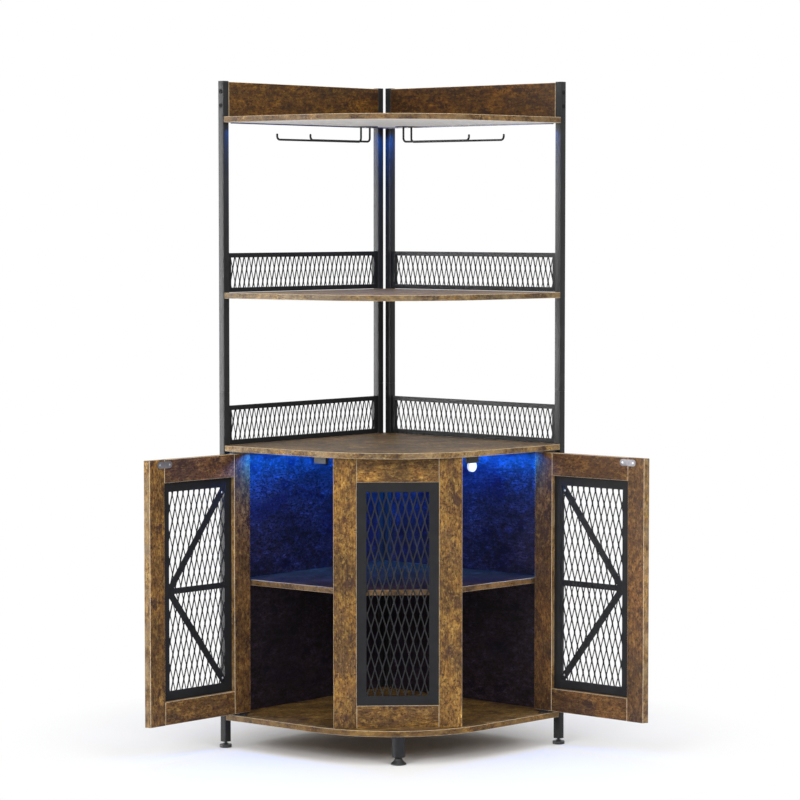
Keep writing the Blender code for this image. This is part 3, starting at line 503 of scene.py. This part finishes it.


# Pale chamfer line: the printed sheet's edge, partly a painted highlight.
ARRIS_EDGE_AND_HIGHLIGHT = arris_material()
BACKING = backing_material()
STEEL = powder_material("powder_black", (0.013, 0.013, 0.014, 1), (0.021, 0.021, 0.022, 1),
                        (0.38, 0.52))
FRAME_STEEL = powder_material("powder_frame", (0.008, 0.008, 0.009, 1),
                              (0.014, 0.014, 0.015, 1), (0.42, 0.56))
MESH_STEEL = powder_material("powder_mesh", (0.010, 0.010, 0.011, 1), (0.018, 0.018, 0.019, 1),
                             (0.42, 0.56))
ZINC = bright_material("zinc_plate", (0.46, 0.47, 0.49, 1), (0.66, 0.67, 0.69, 1), 0.33)
STRIKE = bright_material("strike_plate", (0.15, 0.145, 0.155, 1), (0.28, 0.27, 0.285, 1), 0.50)
HINGE_STEEL = powder_material("hinge_steel", (0.020, 0.020, 0.022, 1), (0.045, 0.045, 0.048, 1),
                              (0.34, 0.46))
BOLT_BLACK = powder_material("bolt_black", (0.005, 0.005, 0.006, 1), (0.010, 0.010, 0.011, 1),
                             (0.60, 0.72))
PLASTIC = plastic_material("plastic_black", (0.014, 0.014, 0.015, 1), (0.024, 0.024, 0.025, 1),
                           0.46)
SWITCH_WHITE = lamp_material("switch_white", (0.62, 0.74, 0.92, 1), (0.80, 0.88, 1.0, 1), 0.55, 40)
STRIP_COVER = lamp_material("strip_cover", (0.002, 0.003, 0.020, 1), (0.004, 0.008, 0.070, 1),
                            1.0, 55)


def link_mesh(name, shape, materials, place=WORLD):
    """Turn a shape into an object, in the row's frame."""
    bmesh.ops.transform(shape, matrix=place, verts=shape.verts)
    if place.determinant() < 0:
        bmesh.ops.reverse_faces(shape, faces=shape.faces)
    mesh = bpy.data.meshes.new(name)
    shape.to_mesh(mesh)
    shape.free()
    for material in materials:
        mesh.materials.append(material)
    piece = bpy.data.objects.new(name, mesh)
    bpy.context.scene.collection.objects.link(piece)
    return piece


def new_piece(name, shape, material, node, place=WORLD, rounding=0.0, replaced=()):
    """A piece that rides with a CAD node's body, with rounded edges and smooth shading."""
    piece = link_mesh(name, shape, [material], place)
    piece.data.shade_smooth()
    if rounding:
        bevel = piece.modifiers.new("rounded_edges", "BEVEL")
        bevel.width = rounding
        bevel.segments = ROUNDING_STEPS
        bevel.limit_method = "ANGLE"
        bevel.angle_limit = SHARP_ANGLE
        bevel.harden_normals = True
    else:
        piece.data.set_sharp_from_angle(angle=SHARP_ANGLE)
    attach(piece, BODY_OF[node])
    if replaced:
        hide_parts(*replaced)
    return piece


def box_shape(low, high):
    """A box between two opposite corners."""
    shape = bmesh.new()
    sizes = [b - a for a, b in zip(low, high)]
    middle = [(a + b) / 2 for a, b in zip(low, high)]
    bmesh.ops.create_cube(shape, size=1,
                          matrix=Matrix.Translation(middle) @ Matrix.Diagonal((*sizes, 1)))
    return shape


def turned_shape(profile, steps=TURN_STEPS):
    """Turn (radius, height) points, which run down the outer side, about Z."""
    shape = bmesh.new()
    rings = []
    for radius, height in profile:
        if radius == 0:
            rings.append([shape.verts.new((0, 0, height))])
            continue
        rings.append([shape.verts.new((radius * math.cos(math.tau * i / steps),
                                       radius * math.sin(math.tau * i / steps), height))
                      for i in range(steps)])
    for upper, lower in zip(rings, rings[1:]):
        for i in range(steps):
            corners = [upper[i % len(upper)], lower[i % len(lower)],
                       lower[(i + 1) % len(lower)], upper[(i + 1) % len(upper)]]
            distinct = [v for k, v in enumerate(corners) if v not in corners[:k]]
            if len(distinct) > 2:
                shape.faces.new(distinct)
    return shape


def tube_shape(low, high):
    """A square tube with rounded corners, and ends closed flat inside its wall."""
    half = POST_SIZE / 2
    shape = box_shape((-half, -half, low), (half, half, high))
    upright = [e for e in shape.edges if abs(e.verts[0].co.z - e.verts[1].co.z) > POST_SIZE]
    bmesh.ops.bevel(shape, geom=upright, offset=POST_CORNER, segments=POST_CORNER_STEPS,
                    profile=0.5, affect="EDGES")
    ends = [f for f in shape.faces if abs(f.normal.z) > 0.9]
    bmesh.ops.inset_region(shape, faces=ends, thickness=POST_WALL, use_even_offset=True)
    return shape


def make_posts():
    """Post tubes, each lower one up to the seam under its upper one, and the upper ones' caps."""
    for side, word in SIDES.items():
        for place in ("front", "rear"):
            for part in ("lower", "upper"):
                node = "_".join(("post", place, word, part))
                low, high = local_box(node, WALLS[side])
                middle = (low + high) / 2
                seat = WALLS[side] @ Matrix.Translation((middle.x, middle.y, 0))
                top = high.z
                if part == "lower":
                    top = local_box(node.replace("lower", "upper"), WALLS[side])[0].z - SEAT_GAP
                new_piece(node.replace("post", "post_tube"), tube_shape(low.z, top), STEEL,
                          node, seat, POST_ROUNDING, (node,))
                if part == "upper":
                    half = POST_SIZE / 2 - CAP_INSET
                    cap = box_shape((-half, -half, top - CAP_DEPTH),
                                    (half, half, top - CAP_RECESS))
                    new_piece("_".join(("post_cap", place, word)), cap, PLASTIC, node,
                              seat, CAP_ROUNDING)


def ring_shape(rim, bar, near, far):
    """A rectangular frame of flat bars with mitred corners."""
    x_low, z_low, x_high, z_high = rim
    shape = bmesh.new()
    loops = []
    for inset, y in ((0, near), (bar, near), (bar, far), (0, far)):
        loops.append([shape.verts.new((x, y, z)) for x, z in
                      ((x_low + inset, z_low + inset), (x_high - inset, z_low + inset),
                       (x_high - inset, z_high - inset), (x_low + inset, z_high - inset))])
    for first, second in zip(loops, loops[1:] + loops[:1]):
        for i in range(4):
            j = (i + 1) % 4
            shape.faces.new((first[i], first[j], second[j], second[i]))
    bmesh.ops.recalc_face_normals(shape, faces=shape.faces)
    return shape


def cut_to_window(shape, window, closed):
    """Cut a shape off at the four sides of a window in XZ, and close the cuts if asked."""
    x_low, z_low, x_high, z_high = window
    for point, normal in (((x_low, 0, 0), (-1, 0, 0)), ((x_high, 0, 0), (1, 0, 0)),
                          ((0, 0, z_low), (0, 0, -1)), ((0, 0, z_high), (0, 0, 1))):
        cut = bmesh.ops.bisect_plane(shape, geom=shape.verts[:] + shape.edges[:] + shape.faces[:],
                                     plane_co=point, plane_no=normal, clear_outer=True)
        rim = [e for e in cut["geom_cut"] if isinstance(e, bmesh.types.BMEdge)]
        if closed and rim:
            bmesh.ops.holes_fill(shape, edges=rim, sides=0)
    bmesh.ops.recalc_face_normals(shape, faces=shape.faces)


def expanded_shape(window, y, first_row, width):
    """Expanded steel mesh cut to a window: slanted strands between tall eight-sided holes."""
    x_low, z_low, x_high, z_high = window
    half_x = width / 2
    hole_x = half_x - STRAND_WIDTH
    half_z = DIAMOND_HEIGHT / 2
    shape = bmesh.new()
    rows = math.ceil((z_high - z_low) / half_z) + 2
    columns = math.ceil((x_high - x_low) / half_x) + 2
    hole = [(hole_x, -HOLE_SIDE), (hole_x, HOLE_SIDE), (HOLE_TIP, HOLE_HALF_HEIGHT),
            (-HOLE_TIP, HOLE_HALF_HEIGHT), (-hole_x, HOLE_SIDE), (-hole_x, -HOLE_SIDE),
            (-HOLE_TIP, -HOLE_HALF_HEIGHT), (HOLE_TIP, -HOLE_HALF_HEIGHT)]
    cell = [(half_x, 0), (0, half_z), (-half_x, 0), (0, -half_z)]
    middle_x = (x_low + x_high) / 2
    for i in range(-columns, columns + 1):
        for j in range(-2, rows + 1):
            if (i + j) % 2:
                continue
            x = middle_x + i * half_x
            z = first_row - j * half_z
            if not (x_low - half_x < x < x_high + half_x and z_low - half_z < z < z_high + half_z):
                continue
            corners = [shape.verts.new((x + dx, y, z + dz)) for dx, dz in cell]
            inner = [shape.verts.new((x + dx, y + math.copysign(MESH_RELIEF, dz), z + dz))
                     for dx, dz in hole]
            for k in range(4):
                after = corners[(k + 1) % 4]
                shape.faces.new((corners[k], inner[2 * k + 1], inner[2 * k]))
                shape.faces.new((corners[k], after, inner[(2 * k + 2) % 8], inner[2 * k + 1]))
    bmesh.ops.remove_doubles(shape, verts=shape.verts, dist=MERGE_DISTANCE)
    cut_to_window(shape, window, False)
    return shape


def bar_shape(start, end, width, near, far, window):
    """A flat bar between two points in XZ, cut off at a window's sides."""
    (x0, z0), (x1, z1) = start, end
    length = math.hypot(x1 - x0, z1 - z0)
    shape = box_shape((-width, near, -width / 2), (length + width, far, width / 2))
    turn = Matrix.Translation((x0, 0, z0)) @ Matrix.Rotation(-math.atan2(z1 - z0, x1 - x0), 4, "Y")
    bmesh.ops.transform(shape, matrix=turn, verts=shape.verts)
    cut_to_window(shape, window, True)
    return shape


def make_framed_mesh(node, bar, place, drop, width, mesh_y=None):
    """A frame of mitred bars and the expanded mesh welded into it, a little under the bars."""
    low, high = local_box(node, place)
    rim = (low.x, low.z, high.x, high.z)
    new_piece(node + "_bars", ring_shape(rim, bar, low.y, high.y), FRAME_STEEL, node,
              place, BAR_ROUNDING, (node,))
    x_low, z_low, x_high, z_high = (low.x + bar, low.z + bar, high.x - bar, high.z - bar)
    window = (x_low - MESH_LAP, z_low - MESH_LAP, x_high + MESH_LAP, z_high + MESH_LAP)
    shape = expanded_shape(window, low.y + MESH_DEPTH if mesh_y is None else mesh_y,
                           z_high - drop, width)
    piece = new_piece(node + "_expanded", shape, MESH_STEEL, node, place)
    plate = piece.modifiers.new("thickness", "SOLIDIFY")
    plate.thickness = MESH_THICKNESS
    plate.offset = 0
    return (x_low, z_low, x_high, z_high), high.y


def make_door_frame(side):
    """The frame of a door: bars, mesh, a middle brace and two diagonal ones with screws."""
    node = "door_" + SIDES[side] + "_frame"
    opening, inner_face = make_framed_mesh(node, DOOR_BAR, DOORS[side], FIRST_ROW_DROP,
                                           DOOR_DIAMOND)
    x_low, z_low, x_high, z_high = opening
    middle = (z_low + z_high) / 2
    far = inner_face - BRACE_RECESS
    near = far - BRACE_THICKNESS
    bars = {"upper": (z_high, DIAGONAL_WIDTH), "lower": (z_low, DIAGONAL_WIDTH),
            "middle": (middle, BRACE_WIDTH)}
    for number, (word, (start, width)) in enumerate(bars.items()):
        step = number * BRACE_STEP
        shape = bar_shape((x_low, start), (x_high, middle), width, near + step, far - step,
                          opening)
        new_piece("_".join((node, "brace", word)), shape, FRAME_STEEL, node, DOORS[side],
                  BRACE_ROUNDING)
    for word, z in (("upper", z_high - BRACE_SCREW_INSET), ("lower", z_low + BRACE_SCREW_INSET)):
        seat = (DOORS[side] @ Matrix.Translation((x_low + BRACE_WIDTH / 2, far, z))
                @ Matrix.Rotation(-math.pi / 2, 4, "X"))
        add_screw(node, word, seat, SCREW_RADIUS)


def add_screw(node, mark, seat, radius, rise=SCREW_RISE):
    """A low domed screw head on the plane z = 0 of its seat."""
    height = radius * rise
    dome = [(radius * math.sin(a), height * (SCREW_RIM + (1 - SCREW_RIM) * math.cos(a)))
            for a in (math.pi / 2 * k / DOME_STEPS for k in range(1, DOME_STEPS + 1))]
    shape = turned_shape([(0, height), *dome, (radius, 0), (0, 0)], SCREW_STEPS)
    new_piece("_".join((node, "screw", str(mark))), shape, ZINC, node, seat)


def bolt_shape():
    """A round bolt head with a round socket, on the plane z = 0."""
    floor = BOLT_HEIGHT - BOLT_SOCKET_DEPTH
    profile = [(0, floor), (BOLT_SOCKET, floor), (BOLT_SOCKET_MOUTH, BOLT_HEIGHT),
               (BOLT_RADIUS - BOLT_EDGE, BOLT_HEIGHT),
               (BOLT_RADIUS - BOLT_EDGE_STEP, BOLT_HEIGHT - BOLT_EDGE_STEP),
               (BOLT_RADIUS, BOLT_HEIGHT - BOLT_EDGE), (BOLT_RADIUS, 0), (0, 0)]
    return turned_shape(profile, BOLT_STEPS)


def make_bolts():
    """Two bolts through each front post into the end of its backboard."""
    for side, word in SIDES.items():
        node = "post_front_" + word + "_upper"
        low, high = local_box(node, WALLS[side])
        middle = (low.y + high.y) / 2
        for number, z in enumerate(BOLT_LEVELS, 1):
            seat = (WALLS[side] @ Matrix.Translation((high.x, middle, z))
                    @ Matrix.Rotation(math.pi / 2, 4, "Y"))
            new_piece("_".join(("backboard_bolt", word, str(number))), bolt_shape(), BOLT_BLACK,
                      node, seat)


def foot_profile(stem_top):
    """Profile of a levelling foot: threaded stem, collar and rounded pad."""
    turns = int((stem_top - FOOT_COLLAR_TOP) / THREAD_PITCH)
    thread = [(STEM_RADIUS - (THREAD_DEPTH if k % 2 else 0),
               stem_top - STEM_CHAMFER - k * THREAD_PITCH / 2) for k in range(2 * turns)]
    rounding = [(FOOT_PAD - FOOT_EDGE + FOOT_EDGE * math.sin(a),
                 FOOT_DISC - FOOT_EDGE + FOOT_EDGE * math.cos(a))
                for a in (math.pi / 2 * k / FOOT_EDGE_STEPS for k in range(FOOT_EDGE_STEPS + 1))]
    return [(0, stem_top), *thread, (STEM_ROOT, FOOT_COLLAR_TOP),
            (FOOT_COLLAR - FOOT_CHAMFER, FOOT_COLLAR_TOP),
            (FOOT_COLLAR, FOOT_COLLAR_TOP - FOOT_CHAMFER), (FOOT_COLLAR, FOOT_DISC), *rounding,
            (FOOT_PAD, FOOT_CHAMFER), (FOOT_PAD - FOOT_CHAMFER, 0), (0, 0)]


def make_feet():
    """Levelling feet under the four posts."""
    for word in SIDES.values():
        for place in ("front", "rear"):
            node = "_".join(("levelling_foot", place, word))
            low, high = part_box(node)
            new_piece(node + "_turned", turned_shape(foot_profile(high.z)), PLASTIC,
                      node, centre_seat(low, high), 0.0, (node,))


def make_centre_leg():
    """The round leg under the nose, with a bore in its end, and its bell-shaped foot."""
    low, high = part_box("centre_leg")
    seat = centre_seat(low, high)
    radius = (high.x - low.x) / 2
    profile = [(0, high.z), (radius, high.z), (radius, low.z + LEG_EDGE),
               (radius - LEG_EDGE, low.z), (LEG_BORE, low.z), (LEG_BORE, low.z + LEG_BORE_DEPTH),
               (0, low.z + LEG_BORE_DEPTH)]
    new_piece("centre_leg_tube", turned_shape(profile, LEG_STEPS), STEEL, "centre_leg",
              seat, 0.0, ("centre_leg",))
    node = "levelling_foot_centre"
    low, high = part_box(node)
    pad = (high.x - low.x) / 2
    reach = pad - BELL_RIM_INSET - BELL_NECK
    bell = [(BELL_NECK + reach * (k / BELL_STEPS) ** BELL_CURVE,
             BELL_TOP - (BELL_TOP - BELL_RIM) * k / BELL_STEPS)
            for k in range(1, BELL_STEPS + 1)]
    profile = [(0, high.z), (STEM_RADIUS, high.z - STEM_CHAMFER), (STEM_RADIUS, BELL_TOP),
               (BELL_NECK - FOOT_CHAMFER, BELL_TOP), (BELL_NECK, BELL_TOP - FOOT_CHAMFER), *bell,
               (pad - BELL_RIM_SHOULDER, BELL_RIM - FOOT_CHAMFER), (pad, BELL_RIM - BELL_RIM_DROP),
               (pad, FOOT_CHAMFER), (pad - FOOT_CHAMFER, 0), (0, 0)]
    new_piece(node + "_turned", turned_shape(profile, LEG_STEPS), PLASTIC, node, seat,
              0.0, (node,))


def tube_along(points, radius, steps=WIRE_STEPS):
    """A round wire along points that lie in one upright plane, with rounded ends."""
    shape = bmesh.new()
    count = len(points)
    rings = []
    for i, point in enumerate(points):
        along = (points[min(i + 1, count - 1)] - points[max(i - 1, 0)]).normalized()
        across = Vector((0, 1, 0))
        up = along.cross(across).normalized()
        rings.append([shape.verts.new(point + radius * (math.cos(math.tau * k / steps) * across
                                                        + math.sin(math.tau * k / steps) * up))
                      for k in range(steps)])
    for first, second in zip(rings, rings[1:]):
        for k in range(steps):
            after = (k + 1) % steps
            shape.faces.new((first[k], first[after], second[after], second[k]))
    for ring, outward in ((rings[0], points[0] - points[1]), (rings[-1], points[-1] - points[-2])):
        tip = shape.verts.new(ring[0].co.lerp(ring[steps // 2].co, 0.5)
                              + outward.normalized() * radius * WIRE_TIP)
        for k in range(steps):
            shape.faces.new((ring[k], ring[(k + 1) % steps], tip))
    bmesh.ops.recalc_face_normals(shape, faces=shape.faces)
    return shape


def bend(x, z, start, end):
    """Points of a rack wire's bend from one angle to another, both ends included."""
    turns = [start + (end - start) * i / RACK_BEND_STEPS for i in range(RACK_BEND_STEPS + 1)]
    return [(x + RACK_BEND * math.cos(a), z + RACK_BEND * math.sin(a)) for a in turns]


def make_racks():
    """Two bent wires and their screwed plate under each side of the top shelf."""
    for side, word in SIDES.items():
        node = "glass_rack_" + word
        low, high = local_box(node, WALLS[side])
        radius = RACK_WIRE / 2
        start = low.x + RACK_WIRE_INSET
        run = low.z + radius
        under = high.z - RACK_PLATE_THICKNESS
        lines = {"wall": (low.y + RACK_WIRE_INSET, high.x - radius),
                 "inner": (high.y - RACK_WIRE_INSET, RACK_INNER_END)}
        for line, (y, end) in lines.items():
            path = [(start, high.z - RACK_PLATE_THICKNESS / 2),
                    *bend(start + RACK_BEND, run + RACK_BEND, math.pi, math.pi * 3 / 2),
                    *bend(end - RACK_BEND, run + RACK_BEND, -math.pi / 2, 0),
                    (end, run + RACK_TIP)]
            wire = tube_along([Vector((x, y, z)) for x, z in path], radius)
            new_piece("_".join((node, "wire", line)), wire, STEEL, node, WALLS[side],
                      0.0, (node,) if line == "wall" else ())
        plate = box_shape((start - RACK_PLATE_REACH, low.y - RACK_PLATE_OVERHANG, under),
                          (start + RACK_PLATE_REACH, high.y + RACK_PLATE_OVERHANG, high.z))
        new_piece(node + "_plate", plate, STEEL, node, WALLS[side], RACK_PLATE_ROUNDING)
        places = (low.y + RACK_SCREW_INSET, high.y - RACK_SCREW_INSET, (low.y + high.y) / 2)
        for number, y in enumerate(places, 1):
            seat = (WALLS[side] @ Matrix.Translation((start, y, under))
                    @ Matrix.Rotation(math.pi, 4, "X"))
            add_screw(node, number, seat, RACK_SCREW_RADIUS)


def tint_of(node, tints):
    """The tint of the kind of board that a node is, if it has one."""
    return next((tint for kind, tint in tints.items() if node.startswith(kind)), None)


def dress_board(node, place, grain, normal, offset):
    """Give a board's faces, bands and thin chamfers their materials."""
    turn = place.to_3x3()
    grain = (turn @ Vector(grain)).normalized()
    normal = (turn @ Vector(normal)).normalized()
    axes = Matrix((grain, normal.cross(grain), normal)).transposed()
    rotation = tuple(axes.to_euler())
    face = board_material(node + "_face", rotation, offset, False, tint_of(node, TINTS))
    band = board_material(node + "_band", rotation, offset, True, tint_of(node, BAND_TINTS))
    back = face
    if node == "top_shelf":
        back = BACKING
    elif node.startswith("rear_panel"):
        back = board_material(node + "_back", rotation, offset, False, BACK_TINT)
    mesh = NODES[node].data
    mesh.materials.clear()
    for material in (face, band, ARRIS_EDGE_AND_HIGHLIGHT, back):
        mesh.materials.append(material)
    for polygon in mesh.polygons:
        share = polygon.normal.dot(normal)
        if node == "corner_batten" or share > FACE_SHARE:
            polygon.material_index = FACE_SLOT
        elif share < -FACE_SHARE:
            polygon.material_index = BACK_SLOT
        elif abs(share) > ARRIS_SHARE:
            polygon.material_index = ARRIS_SLOT
        else:
            polygon.material_index = BAND_SLOT


def make_boards():
    """Finish all boards, each with its own stretch of the pattern."""
    up = (0, 0, 1)
    along = (1, 0, 0)
    front = (0, -1, 0)
    inner = (0, 1, 0)
    jobs = [(name, WORLD, along, up) for name in
            ("base_board", "middle_shelf", "worktop", "second_shelf", "top_shelf")]
    jobs += [("panel_stile_left", WORLD, up, front), ("panel_stile_right", WORLD, up, front),
             ("panel_top_rail", WORLD, along, front), ("panel_bottom_rail", WORLD, along, front),
             ("corner_batten", WORLD, up, front)]
    for side, word in SIDES.items():
        jobs += [(name + "_" + word, WALLS[side], along, inner)
                 for name in ("backboard", "rear_panel")]
        jobs += [("_".join(("door", word, name)), DOORS[side], grain, inner)
                 for name, grain in (("hinge_stile", up), ("free_stile", up), ("top_rail", along),
                                     ("bottom_rail", along))]
    for number, (node, place, grain, normal) in enumerate(jobs):
        offset = tuple(step * number for step in PATTERN_STEP)
        dress_board(node, place, grain, normal, offset)


def dress_node(node, material):
    """Give a CAD node one material."""
    mesh = NODES[node].data
    mesh.materials.clear()
    mesh.materials.append(material)


def make_plate_screws(side):
    """Two screws in a strike plate and two in the plate of the lower hinge's socket."""
    node = "door_" + SIDES[side] + "_strike_plate"
    low, high = local_box(node, DOORS[side])
    inset = (high.z - low.z) / 2
    for number, x in enumerate((low.x + inset, high.x - inset), 1):
        seat = (DOORS[side] @ Matrix.Translation((x, high.y, (low.z + high.z) / 2))
                @ Matrix.Rotation(-math.pi / 2, 4, "X"))
        add_screw(node, number, seat, PLATE_SCREW_RADIUS, PLATE_SCREW_RISE)
    node = "hinge_socket_lower_" + SIDES[side]
    low, high = local_box(node, CLOSED[side])
    for number, x in enumerate((low.x + SOCKET_SCREW_INSET, high.x - SOCKET_SCREW_INSET), 1):
        seat = CLOSED[side] @ Matrix.Translation((x, 0, high.z))
        add_screw(node, number, seat, PLATE_SCREW_RADIUS, PLATE_SCREW_RISE)


def make_hardware():
    """Finish the hinges, sockets, strike plates, catches, switch and light strips."""
    for side, word in SIDES.items():
        for level in ("upper", "lower"):
            dress_node("_".join(("door", word, "hinge", level)), HINGE_STEEL)
            dress_node("_".join(("hinge_socket", level, word)), HINGE_STEEL)
        make_plate_screws(side)
        dress_node("door_" + word + "_strike_plate", STRIKE)
        dress_node("door_catch_" + word, PLASTIC)
    dress_node("light_switch", SWITCH_WHITE)
    dress_node("light_strip_top", STRIP_COVER)
    dress_node("light_strip_cabinet", STRIP_COVER)


def new_lamp(name, size, power, colour=(1, 1, 1)):
    """A rectangular area lamp, still to be placed."""
    lamp = bpy.data.lights.new(name, "AREA")
    lamp.shape = "RECTANGLE"
    lamp.size, lamp.size_y = size
    lamp.energy = power
    lamp.color = colour
    holder = bpy.data.objects.new(name, lamp)
    bpy.context.scene.collection.objects.link(holder)
    return holder


def make_lamps():
    """The soft studio lamps, each of which faces a point."""
    for name, (place, target, size, power) in LAMPS.items():
        lamp = new_lamp(name, size, power)
        lamp.location = place
        lamp.rotation_euler = (Vector(target) - Vector(place)).to_track_quat("-Z", "Y").to_euler()
        if name == "left_card":
            lamp.data.spread = CARD_SPREAD
            lamp.visible_diffuse = False


def make_floor():
    """A white floor that keeps the soft shadow and fades into the white background."""
    material, shader, surface = new_material("floor_white")
    vector = object_vector(shader)
    speckle = shader.noise(vector, 3, 3, 0.5)
    colour = shader.ramp(speckle, [(0.3, (0.93, 0.93, 0.93, 1)), (0.7, (0.95, 0.95, 0.95, 1))])
    finish(shader, surface, colour, 0.9)
    surface.inputs["Specular IOR Level"].default_value = 0.0
    reach = shader.add("ShaderNodeVectorMath", {0: vector}, operation="LENGTH").outputs["Value"]
    far = shader.ramp(shader.math("DIVIDE", reach, FLOOR_FADE), [(0.08, 0.0), (0.26, 1.0)])
    seen = shader.add("ShaderNodeLightPath").outputs["Is Camera Ray"]
    white = shader.add("ShaderNodeEmission", {"Color": (1, 1, 1, 1), "Strength": 1.0})
    blend = shader.blend(shader.math("MULTIPLY", far, seen), surface, white)
    shader.feed(material.node_tree.nodes["Material Output"].inputs["Surface"], blend)
    floor = bmesh.new()
    bmesh.ops.create_grid(floor, x_segments=1, y_segments=1, size=FLOOR_HALF)
    link_mesh("floor", floor, [material], Matrix.Translation((0, 0, -FLOOR_DROP)))


def make_world():
    """White where the camera, a gloss or glass sees it, and a grey sky for soft light."""
    world = bpy.data.worlds.new("studio")
    bpy.context.scene.world = world
    world.use_nodes = True
    world.node_tree.nodes.clear()
    shader = Shader(world.node_tree)
    path = shader.add("ShaderNodeLightPath").outputs
    seen = shader.math("MAXIMUM", path["Is Camera Ray"], path["Is Transmission Ray"])
    seen = shader.math("MAXIMUM", seen, path["Is Glossy Ray"])
    place = shader.add("ShaderNodeTexCoord").outputs["Generated"]
    height = shader.add("ShaderNodeSeparateXYZ", {"Vector": place}).outputs["Z"]
    grey = shader.ramp(height, [(0.0, 0.26), (0.8, 0.62)])
    sky = shader.add("ShaderNodeBackground", {"Color": grey, "Strength": 1.0})
    white = shader.add("ShaderNodeBackground", {"Color": (1, 1, 1, 1), "Strength": 1.0})
    shader.add("ShaderNodeOutputWorld", {"Surface": shader.blend(seen, sky, white)})


def make_strip_glow():
    """The strips' blue light on the rear panels, the shelf, the stiles and the upper posts."""
    for number, (side, word) in enumerate(SIDES.items()):
        wall = WALLS[side]
        along = (wall.to_3x3() @ Vector((1, 0, 0))).normalized()
        for name, (strip, xs, ys, drop, target, powers, spread) in GLOWS.items():
            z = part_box(strip)[0].z - drop
            place = wall @ Vector(((xs[0] + xs[1]) / 2, (ys[0] + ys[1]) / 2, z))
            aim = (wall @ Vector((target[0], target[1], z - target[2])) - place).normalized()
            across = along.cross(aim).normalized()
            turn = Matrix((along, across, along.cross(across))).transposed().to_4x4()
            lamp = new_lamp(name + "_" + word, (xs[1] - xs[0], ys[1] - ys[0]), powers[number],
                            GLOW_BLUE)
            lamp.matrix_world = Matrix.Translation(place) @ turn
            lamp.data.spread = math.radians(spread)
            lamp.visible_camera = False
            lamp.visible_glossy = name != "cabinet_glow"


def make_camera():
    """A camera at the photograph's view."""
    lens = bpy.data.cameras.new("camera")
    lens.lens = CAMERA_LENS
    lens.sensor_width = CAMERA_SENSOR
    lens.clip_end = CAMERA_REACH
    camera = bpy.data.objects.new("camera", lens)
    camera.location = CAMERA_PLACE
    camera.rotation_euler = (math.pi / 2 - CAMERA_PITCH, 0, -CAMERA_YAW)
    bpy.context.scene.collection.objects.link(camera)
    bpy.context.scene.camera = camera


make_boards()
make_posts()
for wall_side in SIDES:
    for guard in ("guard_lower_", "guard_upper_"):
        make_framed_mesh(guard + SIDES[wall_side], GUARD_BAR, WALLS[wall_side], GUARD_ROW_DROP,
                         GUARD_DIAMOND, GUARD_MESH_Y)
    make_door_frame(wall_side)
make_framed_mesh("panel_frame", DOOR_BAR, WORLD, FIRST_ROW_DROP, PANEL_DIAMOND)
make_bolts()
make_feet()
make_centre_leg()
make_racks()
make_hardware()
make_lamps()
make_floor()
make_world()
make_strip_glow()
make_camera()
bpy.context.scene.view_settings.view_transform = "Standard"
